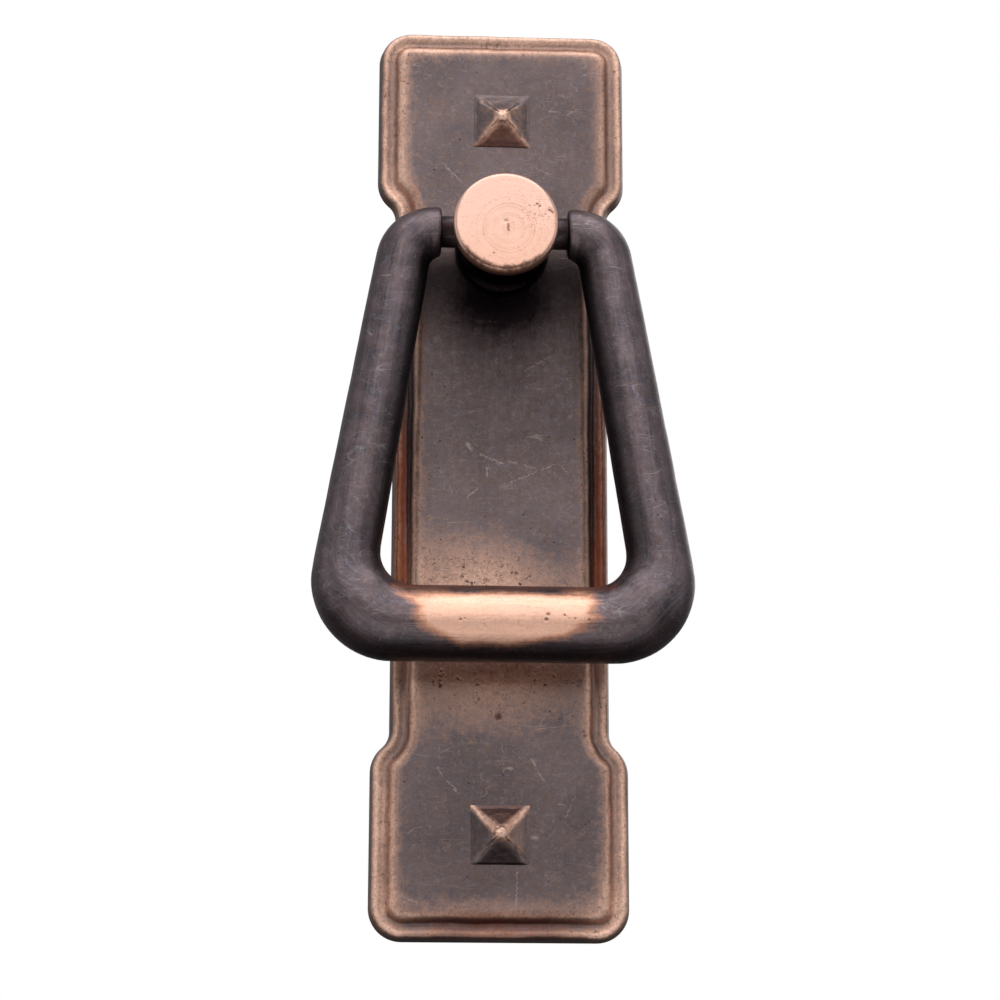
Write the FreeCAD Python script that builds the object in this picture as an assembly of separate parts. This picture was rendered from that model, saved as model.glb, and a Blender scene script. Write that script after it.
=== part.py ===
import FreeCAD, Part
import math
import os

# Ring pull handle for a drawer or cabinet door.
# A cast backplate carries a turned post, and a cast bail swings on its trunnions in the post's cross hole.
# X points right, Y points into the drawer front and Z points up. Sizes are in millimetres.
# The origin is on the post's axis, level with the back face that seats on the drawer front.
# Distances "out" are measured from the back face towards the hand, which is along -Y.

# Backplate outline
plate_length = 101.6
waist_width = 23.4
shoulder_step = 2.0
corner_r = 3.5
shoulder_from_centre = 30.9
shoulder_length = 4.4
shoulder_convex_r = 3.6
post_above_centre = 24.5

# Backplate border, from the outer wall to the raised panel
rim_height = 1.75
wall_draft = 0.35
rim_edge_chamfer = 0.25
rim_width = 0.6
groove_slope = 0.25
groove_width = 0.95
groove_depth = 0.35
panel_height = 2.55
riser_draft = 0.1
panel_edge_r = 0.7

# Hollow back of the casting
back_rim_width = 2.4
back_recess_depth = 1.1
back_recess_draft = 0.3
boss_wall = 2.6
boss_draft = 0.3

# Pyramid bosses
pyramid_from_centre = 39.85
pyramid_base = 6.2
pyramid_height = 2.05
pyramid_tip = 0.9
pyramid_hollow = 1.25
pyramid_steps = 4

# Post
head_diameter = 11.3
head_thickness = 1.65
head_front_r = 0.55
head_front_bevels = 3
head_back_chamfer = 0.3
web_under_head = 0.3
neck_diameter = 8.4
foot_slope = 0.6
foot_diameter = 10.3
foot_thickness = 1.3
foot_edge_chamfer = 0.3
dimple_diameter = 0.7
dimple_depth = 0.2
spigot_diameter = 6.0
spigot_across_flats = 5.2
spigot_clearance = 0.03
thread_bore_diameter = 3.45
drill_point_angle = 118.0
web_over_thread = 0.75

# Bail
trunnion_diameter = 3.4
trunnion_clearance = 0.05
trunnion_end_gap = 2.8
bail_end_gap = 13.65
bail_top_width = 20.8
bail_bottom_width = 35.2
bar_drop = 43.15
hang_clearance = 2.0
elbow_bend_r = 3.3
corner_bend_r = 5.5
bend_step_angle = 14.0
end_diameter = 5.4
end_edge_chamfer = 0.25
elbow_diameter = 6.1
leg_top_diameter = 5.9
leg_bottom_diameter = 6.8
corner_diameter = 8.5
bar_diameter = 8.1

# Widths, heights and depths that follow from the driving sizes
end_half_width = waist_width / 2 + shoulder_step
pivot_out = panel_height + hang_clearance + bar_diameter / 2
cross_hole_r = trunnion_diameter / 2 + trunnion_clearance
neck_top_out = pivot_out + cross_hole_r + web_under_head
head_face_out = neck_top_out + head_thickness
thread_bore_r = thread_bore_diameter / 2
drill_point_length = thread_bore_r / math.tan(math.radians(drill_point_angle / 2))
thread_depth = pivot_out - cross_hole_r - web_over_thread - drill_point_length

# Points nearer to a plane than this lie on it
same_plane = 1e-6

ALONG_X = FreeCAD.Vector(1, 0, 0)
OUTWARD = FreeCAD.Vector(0, -1, 0)


def place(x, out, z):
    """A point given by its distance out from the back face."""
    return FreeCAD.Vector(x, -out, z)


def shoulder_arcs(inset):
    """The two arcs that lead from the waist to the wide end, for one quarter of the outline."""
    both_r = (shoulder_step ** 2 + shoulder_length ** 2) / (2 * shoulder_step)
    turn = math.asin(shoulder_length / both_r)
    concave_r = both_r - shoulder_convex_r + inset
    convex_r = shoulder_convex_r - inset
    start = (waist_width / 2 - inset, shoulder_from_centre - shoulder_length / 2)
    finish = (end_half_width - inset, shoulder_from_centre + shoulder_length / 2)

    def on_concave(angle):
        return start[0] + concave_r * (1 - math.cos(angle)), start[1] + concave_r * math.sin(angle)

    def on_convex(angle):
        return finish[0] - convex_r * (1 - math.cos(angle)), finish[1] - convex_r * math.sin(angle)

    meeting = on_convex(turn)
    return [("arc", start, on_concave(turn / 2), meeting), ("arc", meeting, on_convex(turn / 2), finish)]


def corner_arc(inset):
    """The rounded corner of the wide end, for one quarter of the outline."""
    radius = corner_r - inset
    side = end_half_width - inset
    top = plate_length / 2 - inset
    bulge = radius * (1 - math.sqrt(0.5))
    return ("arc", (side, top - radius), (side - bulge, top - bulge), (side - radius, top))


def plate_outline(inset, out):
    """Closed outline of the plate, moved inwards by inset, at a distance out from the back face."""
    shoulder = shoulder_arcs(inset)
    corner = corner_arc(inset)
    waist_start = (waist_width / 2 - inset, 0)
    quarter = [("line", waist_start, shoulder[0][1])]
    quarter += shoulder
    quarter += [("line", shoulder[1][3], corner[1]), corner, ("line", corner[3], (0, corner[3][1]))]
    edges = []
    for side_x, side_z in ((1, 1), (-1, 1), (-1, -1), (1, -1)):
        for kind, *ends in quarter:
            points = [place(side_x * x, out, side_z * z - post_above_centre) for x, z in ends]
            curve = Part.LineSegment(*points) if kind == "line" else Part.Arc(*points)
            edges.append(curve.toShape())
    return Part.Wire(Part.__sortEdges__(edges))


def outline_block(inset_near, out_near, inset_far, out_far):
    """Solid with drafted walls between two insets of the plate's outline."""
    near = plate_outline(inset_near, out_near)
    far = plate_outline(inset_far, out_far)
    return Part.makeLoft([near, far], True, True)


def edges_at(shape, out):
    """Edges that lie wholly at a distance out from the back face."""
    return [e for e in shape.Edges if all(abs(v.Point.y + out) < same_plane for v in e.Vertexes)]


def plate_front():
    """Drafted slab with a low rim, a groove inside it and a raised panel with a rounded edge."""
    slab = outline_block(0, 0, wall_draft, rim_height)
    slab = slab.makeChamfer(rim_edge_chamfer, edges_at(slab, rim_height))
    groove_start = wall_draft + rim_width
    groove_floor = rim_height - groove_depth
    slab = slab.cut(outline_block(groove_start + groove_slope, groove_floor, groove_start, rim_height))
    panel_foot = groove_start + groove_slope + groove_width
    panel = outline_block(panel_foot, groove_floor, panel_foot + riser_draft, panel_height)
    panel = panel.makeFillet(panel_edge_r, edges_at(panel, panel_height))
    return slab.fuse(panel)


def square(half, out, z):
    """Square wire, parallel to the back face."""
    corners = [place(x * half, out, z + up * half) for x, up in ((-1, -1), (1, -1), (1, 1), (-1, 1))]
    return Part.makePolygon(corners + corners[:1])


def pyramid(z):
    """Blunt four-sided boss with slightly hollow faces, standing on the panel."""
    sections = []
    for step in range(pyramid_steps + 1):
        rise = step / pyramid_steps
        half = pyramid_tip / 2 + (pyramid_base - pyramid_tip) / 2 * (1 - rise) ** pyramid_hollow
        sections.append(square(half, panel_height + rise * pyramid_height, z))
    return Part.makeLoft(sections, True, True)


def flatted_bar(diameter, across_flats, out_near, out_far):
    """Round bar along the post's axis with two flats, one on each side."""
    length = out_far - out_near
    bar = Part.makeCylinder(diameter / 2, length, place(0, out_near, 0), OUTWARD)
    corner = place(-across_flats / 2, out_far, -diameter / 2)
    return bar.common(Part.makeBox(across_flats, length, diameter, corner))


def back_recess():
    """Shallow hollow behind the panel, with a boss left standing round the post's hole."""
    hollow = outline_block(back_rim_width, 0, back_rim_width + back_recess_draft, back_recess_depth)
    boss_r = spigot_diameter / 2 + spigot_clearance + boss_wall
    boss = Part.makeCone(boss_r, boss_r + boss_draft, back_recess_depth, place(0, 0, 0), OUTWARD)
    return hollow.cut(boss)


def backplate():
    """Cast plate with its pyramids, its hollow back and the keyed hole for the post."""
    plate = plate_front()
    for side in (1, -1):
        plate = plate.fuse(pyramid(side * pyramid_from_centre - post_above_centre))
    hole_diameter = spigot_diameter + 2 * spigot_clearance
    hole_across_flats = spigot_across_flats + 2 * spigot_clearance
    plate = plate.cut(flatted_bar(hole_diameter, hole_across_flats, 0, panel_height))
    return plate.cut(back_recess()).removeSplitter()


def head_front_edge():
    """Points (radius, out) over the head's rounded front edge, from its side to its face."""
    centre_r = head_diameter / 2 - head_front_r
    centre_out = head_face_out - head_front_r
    points = []
    for step in range(head_front_bevels + 1):
        angle = math.pi / 2 * step / head_front_bevels
        radius = centre_r + head_front_r * math.cos(angle)
        points.append((radius, centre_out + head_front_r * math.sin(angle)))
    return points


def post_profile():
    """Half section of the post as points (radius, out), from its foot to its head."""
    foot_r = foot_diameter / 2
    foot_top = panel_height + foot_thickness
    neck_r = neck_diameter / 2
    head_r = head_diameter / 2
    foot_to_head = [
        (0, panel_height),
        (foot_r, panel_height),
        (foot_r, foot_top - foot_edge_chamfer),
        (foot_r - foot_edge_chamfer, foot_top),
        (neck_r, foot_top + foot_slope),
        (neck_r, neck_top_out),
        (head_r - head_back_chamfer, neck_top_out),
        (head_r, neck_top_out + head_back_chamfer),
    ]
    face_to_axis = [
        (dimple_diameter / 2, head_face_out),
        (0, head_face_out - dimple_depth),
        (0, panel_height),
    ]
    return foot_to_head + head_front_edge() + face_to_axis


def tapped_hole():
    """Blind hole for the mounting screw, from the back face to its drill point."""
    bore = Part.makeCylinder(thread_bore_r, thread_depth, place(0, 0, 0), OUTWARD)
    drill_point = Part.makeCone(thread_bore_r, 0, drill_point_length, place(0, thread_depth, 0), OUTWARD)
    return bore.fuse(drill_point)


def post():
    """Turned post: keyed spigot, foot, neck with the cross hole for the trunnions, and round head."""
    profile = Part.makePolygon([place(radius, out, 0) for radius, out in post_profile()])
    turned = Part.Face(profile).revolve(place(0, 0, 0), OUTWARD, 360)
    body = turned.fuse(flatted_bar(spigot_diameter, spigot_across_flats, 0, panel_height))
    hole_start = place(-head_diameter / 2, pivot_out, 0)
    cross_hole = Part.makeCylinder(cross_hole_r, head_diameter, hole_start, ALONG_X)
    return body.cut(cross_hole).cut(tapped_hole()).removeSplitter()


def bend(before, corner, after, radius):
    """Arc edge that rounds a corner of the bail's centreline."""
    towards_before = (before - corner).normalize()
    towards_after = (after - corner).normalize()
    half_angle = towards_before.getAngle(towards_after) / 2
    tangent_length = radius / math.tan(half_angle)
    inward = (towards_before + towards_after).normalize()
    start = corner + towards_before * tangent_length
    middle = corner + inward * (radius / math.sin(half_angle) - radius)
    finish = corner + towards_after * tangent_length
    return Part.Arc(start, middle, finish).toShape()


def grown(start, finish, share):
    """Value that eases from start to finish, level at both ends."""
    return start + (finish - start) * share * share * (3 - 2 * share)


def bend_stations(arc, diameters):
    """Stations along a bend, whose diameter eases from the first to the middle to the last value."""
    turn = math.degrees(arc.LastParameter - arc.FirstParameter)
    count = math.ceil(turn / bend_step_angle)
    stations = []
    for step in range(count + 1):
        share = step / count
        half = 0 if share < 0.5 else 1
        diameter = grown(diameters[half], diameters[half + 1], share * 2 - half)
        parameter = arc.FirstParameter + (arc.LastParameter - arc.FirstParameter) * share
        stations.append((arc.valueAt(parameter), arc.tangentAt(parameter), diameter))
    return stations


def bail_stations():
    """Stations (point, direction, diameter) from one end face of the bail to the start of its bar."""
    end = place(bail_end_gap / 2, pivot_out, 0)
    elbow = place(bail_top_width / 2, pivot_out, 0)
    corner = place(bail_bottom_width / 2, pivot_out, -bar_drop)
    bar_middle = place(0, pivot_out, -bar_drop)
    elbow_bend = bend(end, elbow, corner, elbow_bend_r)
    corner_bend = bend(elbow, corner, bar_middle, corner_bend_r)
    stations = [(end, ALONG_X, end_diameter)]
    stations += bend_stations(elbow_bend, (end_diameter, elbow_diameter, leg_top_diameter))
    stations += bend_stations(corner_bend, (leg_bottom_diameter, corner_diameter, bar_diameter))
    return stations


def mirrored(station):
    """The same station on the other side of the bail, with the sweep's direction kept."""
    centre, direction, diameter = station
    other_side = FreeCAD.Vector(-centre.x, centre.y, centre.z)
    return other_side, FreeCAD.Vector(direction.x, direction.y, -direction.z), diameter


def round_section(station):
    """Circle across the bail's centreline, with its seam at the front."""
    centre, direction, diameter = station
    circle = Part.Circle(centre, direction, diameter / 2)
    circle.XAxis = OUTWARD
    return Part.Wire([circle.toShape()])


def end_rings(shape):
    """Circular edges round the bail's two end faces."""
    half_gap = bail_end_gap / 2
    return [e for e in shape.Edges if all(abs(abs(v.Point.x) - half_gap) < same_plane for v in e.Vertexes)]


def bail():
    """One-piece cast bail: two legs, a thicker bar, and trunnions that point inwards into the post."""
    half = bail_stations()
    stations = half + [mirrored(station) for station in reversed(half)]
    body = Part.makeLoft([round_section(station) for station in stations], True, True)
    body = body.makeChamfer(end_edge_chamfer, end_rings(body))
    length = (bail_end_gap - trunnion_end_gap) / 2
    for side in (1, -1):
        inner_end = place(side * trunnion_end_gap / 2, pivot_out, 0)
        body = body.fuse(Part.makeCylinder(trunnion_diameter / 2, length, inner_end, ALONG_X * side))
    return body


os.makedirs("parts", exist_ok=True)
backplate().exportStep("parts/backplate.step")
post().exportStep("parts/post.step")
bail().exportStep("parts/bail.step")
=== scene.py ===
import logging
import math
from dataclasses import dataclass, field
from enum import Enum
from functools import partial
from typing import Any, Callable

import bpy
import numpy as np
from mathutils import Matrix, Vector, noise


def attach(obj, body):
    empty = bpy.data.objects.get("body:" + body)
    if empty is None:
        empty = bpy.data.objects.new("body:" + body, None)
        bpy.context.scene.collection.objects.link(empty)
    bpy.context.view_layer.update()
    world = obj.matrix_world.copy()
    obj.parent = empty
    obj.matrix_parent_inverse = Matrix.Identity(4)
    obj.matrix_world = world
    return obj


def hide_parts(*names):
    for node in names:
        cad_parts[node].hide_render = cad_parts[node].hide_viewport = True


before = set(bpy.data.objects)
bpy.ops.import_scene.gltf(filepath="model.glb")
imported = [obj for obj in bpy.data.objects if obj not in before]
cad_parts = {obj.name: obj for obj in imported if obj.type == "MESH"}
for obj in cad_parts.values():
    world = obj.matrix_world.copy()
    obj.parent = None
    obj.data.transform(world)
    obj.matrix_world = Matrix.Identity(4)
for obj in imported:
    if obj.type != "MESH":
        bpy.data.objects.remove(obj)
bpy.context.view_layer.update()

# Ring pull handle: a cast copper bail swings on a turned post that stands on a long cast backplate.
# Lengths in the classes are millimetres, and "out" is the distance from the drawer front towards the hand.
# Blender's own units are metres, in the row's frame: x right, y into the drawer front, z up.

Socket = bpy.types.NodeSocket
Adder = Callable[..., Any]
log = logging.getLogger("ring_pull")
MM_PER_M = 1000.0


class Body(Enum):
    """The two moving bodies of the pull."""

    PLATE_AND_POST = "plate_and_post"
    BAIL = "bail"


class Field(Enum):
    """Values painted on a piece's points, which its finish reads."""

    RUB = "rub"
    BLUSH = "blush"
    SMUT_AND_SHADE = "smut"
    RUSSET = "russet"
    COURSE = "course"


def linear_colour(hex_colour: str) -> tuple[float, float, float, float]:
    """Turns an sRGB hex colour into the linear colour that a shader takes.

    Args:
        hex_colour: Six hex digits after a hash sign.

    Returns:
        Red, green, blue and an alpha of 1.
    """
    shares = [int(hex_colour[start:start + 2], 16) / 255 for start in (1, 3, 5)]
    red, green, blue = (s / 12.92 if s <= 0.04045 else ((s + 0.055) / 1.055) ** 2.4 for s in shares)
    return red, green, blue, 1.0


def per_metre(size_mm: float) -> float:
    """Texture scale that makes one feature about size_mm wide."""
    return MM_PER_M / size_mm


def add_node(tree: bpy.types.NodeTree, kind: str, inputs: Any = (), out: int | str = 0, **settings: Any) -> Any:
    """Adds a shader node, with its settings, its values and its links.

    Args:
        tree: Node tree that gets the node.
        kind: Blender's name for the node type after "ShaderNode", and its operation if it has one.
        inputs: Sockets to link from or values to set, in order or by name; hex colours turn linear.
        out: Name or number of the output to return.
        settings: The node's own properties.

    Returns:
        The output's socket, or None where the node has none.
    """
    name, _, operation = kind.partition(" ")
    node = tree.nodes.new("ShaderNode" + name)
    if operation:
        node.operation = operation
    for key, value in settings.items():
        setattr(node, key, value)
    for key, value in inputs.items() if isinstance(inputs, dict) else enumerate(inputs):
        if isinstance(value, Socket):
            tree.links.new(value, node.inputs[key])
        else:
            node.inputs[key].default_value = linear_colour(value) if isinstance(value, str) else value
    return node.outputs[out] if len(node.outputs) else None


def start_finish(name: str) -> tuple[bpy.types.Material, Adder]:
    """Starts a material with no nodes in it.

    Args:
        name: The material's name.

    Returns:
        The material, and add_node for its tree.
    """
    material = bpy.data.materials.new(name)
    material.use_nodes = True
    material.node_tree.nodes.clear()
    return material, partial(add_node, material.node_tree)


def end_metal(add: Adder, colour: Socket, rough: Socket, height: Socket, depth_mm: float) -> None:
    """Ends a bare metal's finish.

    Args:
        add: Adds a node to the finish.
        colour: Colour of the metal.
        rough: Its roughness.
        height: Its relief, where 1 stands depth_mm high.
        depth_mm: Depth of the relief.
    """
    bump = add("Bump", {"Height": height, "Distance": depth_mm / MM_PER_M, "Strength": 1.0})
    metal = add("BsdfPrincipled", {"Base Color": colour, "Roughness": rough, "Normal": bump, "Metallic": 1.0})
    add("OutputMaterial", {"Surface": metal})


def eased(value: np.ndarray | float, low: float, high: float) -> np.ndarray | float:
    """Smooth step of value, from 0 at low to 1 at high."""
    share = np.clip((np.asarray(value) - low) / (high - low), 0.0, 1.0)
    return share * share * (3 - 2 * share)


def unevenness(points: np.ndarray, size_mm: float, seed: float) -> np.ndarray:
    """Soft unevenness of a casting, as one value from about -1 to 1 for each point.

    Args:
        points: Points as rows of x, y, z in millimetres.
        size_mm: Width of one swell.
        seed: Offset that makes this field differ from others.

    Returns:
        One value for each point.
    """
    shift = Vector((seed, 2.7 * seed, -1.3 * seed))
    return np.array([noise.noise(Vector(point) / size_mm + shift) for point in points])


def full_turn(count: int) -> np.ndarray:
    """Angles of even steps once round a circle."""
    return np.linspace(0, 2 * math.pi, count, endpoint=False)


def about_post(turn: np.ndarray, radius: np.ndarray | float, out: float) -> np.ndarray:
    """Points of one ring about the post's axis."""
    return np.column_stack([radius * np.cos(turn), np.full(len(turn), -out), radius * np.sin(turn)])


@dataclass
class Draft:
    """Points, faces and painted fields of one piece while it is shaped, in millimetres."""

    points: list[np.ndarray] = field(default_factory=list)
    faces: list[list[int]] = field(default_factory=list)
    painted: dict[Field, list[np.ndarray]] = field(default_factory=dict)
    count: int = 0

    def add(self, points: np.ndarray, **painted: np.ndarray | float) -> np.ndarray:
        """Adds points with their painted values.

        Args:
            points: Rows of x, y, z.
            painted: A value or an array for each field's name.

        Returns:
            The new points' numbers.
        """
        self.points.append(points)
        for name in (Field.RUB, Field.BLUSH, Field.SMUT_AND_SHADE, Field.RUSSET):
            values = np.broadcast_to(painted.get(name.value, 0.0), (len(points),))
            self.painted.setdefault(name, []).append(np.array(values, float))
        course = painted.get(Field.COURSE.value, np.zeros((len(points), 3)))
        self.painted.setdefault(Field.COURSE, []).append(np.array(course, float))
        self.count += len(points)
        return np.arange(self.count - len(points), self.count)

    def tube(self, rings: list[np.ndarray]) -> None:
        """Joins each closed ring to the next with four-sided faces."""
        for first, second in zip(rings, rings[1:]):
            self.faces += np.column_stack([first, np.roll(first, -1), np.roll(second, -1), second]).tolist()

    def cap(self, ring: np.ndarray, middle: np.ndarray | tuple[float, ...], **painted: float) -> None:
        """Closes a ring with triangles that meet in one new middle point.

        Args:
            ring: The ring's point numbers.
            middle: The new point.
            painted: Its painted values.
        """
        number = self.add(np.array([middle], float), **painted)
        self.faces += np.column_stack([ring, np.roll(ring, -1), np.repeat(number, len(ring))]).tolist()

    def make(self, name: str) -> bpy.types.Object:
        """Turns the draft into a smooth-shaded object in the row's frame.

        Args:
            name: The object's name.

        Returns:
            The new object, linked into the scene.
        """
        mesh = bpy.data.meshes.new(name)
        points = np.concatenate(self.points) / MM_PER_M
        mesh.from_pydata(points.tolist(), [], self.faces)
        for key, parts in self.painted.items():
            values = np.concatenate(parts)
            kind = "FLOAT_VECTOR" if values.ndim == 2 else "FLOAT"
            layer = mesh.attributes.new(key.value, kind, "POINT")
            layer.data.foreach_set("vector" if values.ndim == 2 else "value", values.astype(np.float32).ravel())
        mesh.polygons.foreach_set("use_smooth", [True] * len(mesh.polygons))
        mesh.update()
        piece = bpy.data.objects.new(name, mesh)
        bpy.context.scene.collection.objects.link(piece)
        return piece


@dataclass(frozen=True)
class Scratch:
    """One straight light scratch, from start to finish, with its width."""

    start: tuple[float, float, float]
    finish: tuple[float, float, float]
    width: float = 0.09


@dataclass(frozen=True)
class Pit:
    """One small round pit with its radius."""

    centre: tuple[float, float, float]
    radius: float = 0.2


@dataclass(frozen=True)
class Marks:
    """Separate scratches and pits that years of use left at known places."""

    scratches: tuple[Scratch, ...] = ()
    pits: tuple[Pit, ...] = ()
    waver_mm: float = 0.5
    waver: float = 0.12
    far: float = 100.0

    def wavered(self, add: Adder) -> Socket:
        """Object position, pushed about a little so that no mark is quite straight or round."""
        place = add("TexCoord", out="Object")
        push = add("TexNoise", {"Vector": place, "Scale": per_metre(self.waver_mm), "Detail": 2.0}, out="Color")
        centred = add("VectorMath SUBTRACT", (push, (0.5, 0.5, 0.5)))
        small = add("VectorMath SCALE", {0: centred, "Scale": 2 * self.waver / MM_PER_M})
        return add("VectorMath ADD", (place, small))

    def scratch_mask(self, add: Adder) -> Socket:
        """Mask that is 1 along the scratches.

        Args:
            add: Adds a node to the finish.

        Returns:
            The mask's socket.
        """
        place = self.wavered(add)
        nearest: Any = self.far
        for scratch in self.scratches:
            start = Vector(scratch.start) / MM_PER_M
            run = Vector(scratch.finish) / MM_PER_M - start
            away = add("VectorMath SUBTRACT", (place, start))
            share = add("VectorMath DOT_PRODUCT", (away, run / run.length_squared), out="Value")
            foot = add("VectorMath SCALE", {0: run, "Scale": add("Clamp", (share,))})
            gap = add("VectorMath DISTANCE", (away, foot), out="Value")
            thin = scratch.width / MM_PER_M / 1.5
            nearest = add("Math MINIMUM", (nearest, add("Math DIVIDE", (gap, thin))))
        return add("MapRange", (nearest, 0.3, 1.6, 1.0, 0.0))

    def pit_mask(self, add: Adder) -> Socket:
        """Mask that is 1 in the pits.

        Args:
            add: Adds a node to the finish.

        Returns:
            The mask's socket.
        """
        place = self.wavered(add)
        nearest: Any = self.far
        for pit in self.pits:
            gap = add("VectorMath DISTANCE", (place, Vector(pit.centre) / MM_PER_M), out="Value")
            nearest = add("Math MINIMUM", (nearest, add("Math DIVIDE", (gap, pit.radius / MM_PER_M))))
        return add("MapRange", (nearest, 0.5, 1.3, 1.0, 0.0))


@dataclass(frozen=True)
class RelievedCopper:
    """Cast copper, darkened with a sulphide dip and brushed back on its high places.

    To the eye it is a dull purple-brown skin with soft sheen, pink copper on crests and worn areas,
    russet hollows, fine hair scratches and small casting pits. Its near-black colour for the dip
    also serves as painted shade where the pieces paint it.
    """

    name: str
    skin: str = "#77696a"
    skin_cool: str = "#695e60"
    skin_warm: str = "#7d6860"
    # Near-black of the dip, which also serves as painted shade.
    smut: str = "#120b0f"
    russet: str = "#8c4a30"
    copper: str = "#d2a893"
    copper_bright: str = "#f8ceb8"
    hair: str = "#a8958f"
    fibre_dark: str = "#4c4044"
    fibre_share: float = 0.26
    feather: float = 0.3
    raggedness: float = 0.78
    dent_mm: float = 0.55
    dent_share: float = 0.6
    pit: str = "#45201a"
    skin_roughness: float = 0.42
    copper_roughness: float = 0.5
    cloud_mm: float = 7.0
    mottle_mm: float = 0.7
    grain_mm: float = 0.16
    streak_share: float = 0.0
    hair_amount: float = 0.6
    sand_mm: float = 0.3
    sand_share: float = 0.4
    speck_mm: float = 0.3
    pock_level: float = 0.86
    relief_mm: float = 0.035
    marks: Marks = Marks()

    def place(self, add: Adder, long_mm: float, across_mm: float) -> Socket:
        """Pattern position that runs along the casting, stretched to the given sizes.

        Args:
            add: Adds a node to the finish.
            long_mm: Pattern size along the piece.
            across_mm: Pattern size across it.

        Returns:
            A vector socket for a texture of scale 1.
        """
        course = add("Attribute", out="Vector", attribute_name=Field.COURSE.value)
        stretch = (1.0 / long_mm, 1.0 / across_mm, 1.0 / across_mm)
        return add("VectorMath MULTIPLY", (course, stretch))

    def hairlines(self, add: Adder, turn: float, seed: float) -> Socket:
        """Mask of long, fine, nearly parallel hair scratches.

        Args:
            add: Adds a node to the finish.
            turn: Direction of the scratches on the front, in radians.
            seed: Offset of the pattern.

        Returns:
            The mask's socket, 1 on a scratch.
        """
        place = add("TexCoord", out="Object")
        shift = (seed, 0.3 * seed, 0.7 * seed)
        stretch = (per_metre(9.0), per_metre(3.0), per_metre(1.6))
        turned = add("Mapping", {0: place, "Location": shift, "Rotation": (0.0, turn, 0.0), "Scale": stretch})
        lines = add("TexNoise", {"Vector": turned, "Scale": 1.0, "Detail": 1.5, "Roughness": 0.4, "Distortion": 0.25})
        return self.threads(add, lines, (0.0015, 0.008), {"W": seed, "Scale": per_metre(2.6)}, (0.52, 0.68, 0.0, 1.0))

    def threads(
        self, add: Adder, lines: Socket, thin: tuple[float, float], spots: dict[str, float], here: tuple[float, ...]
    ) -> Socket:
        """Mask of thin lines where a pattern crosses its middle level, broken into short runs.

        Args:
            add: Adds a node to the finish.
            lines: The pattern.
            thin: Distance from the middle level where a line starts to fade, and where it ends.
            spots: Seed and scale of the pattern that breaks the lines.
            here: Levels of that pattern from none to all, and the mask's range.

        Returns:
            The mask's socket.
        """
        from_level = add("Math ABSOLUTE", (add("Math SUBTRACT", (lines, 0.5)),))
        line = add("MapRange", (from_level, *thin, 1.0, 0.0))
        place = add("TexCoord", out="Object")
        where = add("TexNoise", {"Vector": place, "Detail": 2.0, **spots}, noise_dimensions="4D")
        return add("Math MULTIPLY", (line, add("MapRange", (where, *here))))

    def fibres(self, add: Adder, seed: float) -> Socket:
        """Mask of short curved threads, as a cloth leaves them in a rubbed skin.

        Args:
            add: Adds a node to the finish.
            seed: Offset of the pattern.

        Returns:
            The mask's socket, up to the fibre share on a thread.
        """
        place = add("TexCoord", out="Object")
        pattern = {"Vector": place, "W": seed, "Scale": per_metre(0.8), "Detail": 2.5, "Distortion": 1.0}
        lines = add("TexNoise", pattern, noise_dimensions="4D")
        spots = {"W": 2 * seed, "Scale": per_metre(0.7)}
        return self.threads(add, lines, (0.005, 0.05), spots, (0.45, 0.62, 0.0, self.fibre_share))

    def material(self) -> bpy.types.Material:
        """Builds the finish as a node material.

        Returns:
            The material.
        """
        material, add = start_finish(self.name)
        place = add("TexCoord", out="Object")
        rub, blush, smut, rust = (
            add("Attribute", out="Fac", attribute_name=key.value)
            for key in (Field.RUB, Field.BLUSH, Field.SMUT_AND_SHADE, Field.RUSSET)
        )

        # Patterns: clouds in the dip, mottle where the brush skipped, and the casting's grain, sand and specks.
        cloud, mottle, grain, sand, specks = (
            add("TexNoise", {"Vector": place, "Scale": per_metre(size), "Detail": detail, "Roughness": fine})
            for size, detail, fine in (
                (self.cloud_mm, 4.0, 0.55), (self.mottle_mm, 5.0, 0.62), (self.grain_mm, 3.0, 0.6),
                (self.sand_mm, 3.0, 0.7), (self.speck_mm, 0.0, 0.5),
            )
        )
        along = self.place(add, 5.0, 0.35)
        brushed = add("TexNoise", {"Vector": along, "Scale": 1.0, "Detail": 3.0, "Roughness": 0.55})
        chips = add("TexNoise", {"Vector": place, "Scale": per_metre(self.dent_mm), "Detail": 1.5, "Distortion": 1.6})

        # Skin: the dark dip, cooler and warmer in clouds, with a cloth's threads and fine brushed streaks.
        skin: Any = self.skin
        for share, coat in (
            (add("MapRange", (cloud, 0.4, 0.62)), self.skin_cool),
            (add("MapRange", (mottle, 0.45, 0.7, 0.0, 0.75)), self.skin_warm),
            (self.fibres(add, 3.0), self.hair),
            (self.fibres(add, 9.0), self.fibre_dark),
            (add("MapRange", (brushed, 0.46, 0.68, 0.0, self.streak_share)), self.hair),
        ):
            skin = add("Mix", {0: share, 6: skin, 7: coat}, out=2, data_type="RGBA")

        # Copper: shows where rubbing, the broad blush and the mottle together pass the skin's thickness.
        uneven = add("Math MULTIPLY_ADD", (grain, 0.5, mottle))
        uneven = add("Math MULTIPLY_ADD", (brushed, self.feather, uneven))
        ragged = add("Math ADD", (uneven, -0.75 - 0.5 * self.feather))
        worn = add("Math MULTIPLY_ADD", (blush, 0.62, rub))
        worn = add("Math MULTIPLY_ADD", (ragged, self.raggedness, worn))
        polish = add("MapRange", (worn, 0.85, 1.5))
        copper = add("Mix", {0: polish, 6: self.copper, 7: self.copper_bright}, out=2, data_type="RGBA")
        full = add("MapRange", (sand, 0.36, 0.58, 1.0 - self.sand_share))
        bare = add("Math MULTIPLY", (add("MapRange", (worn, 0.18, 1.05)), full))

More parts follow.
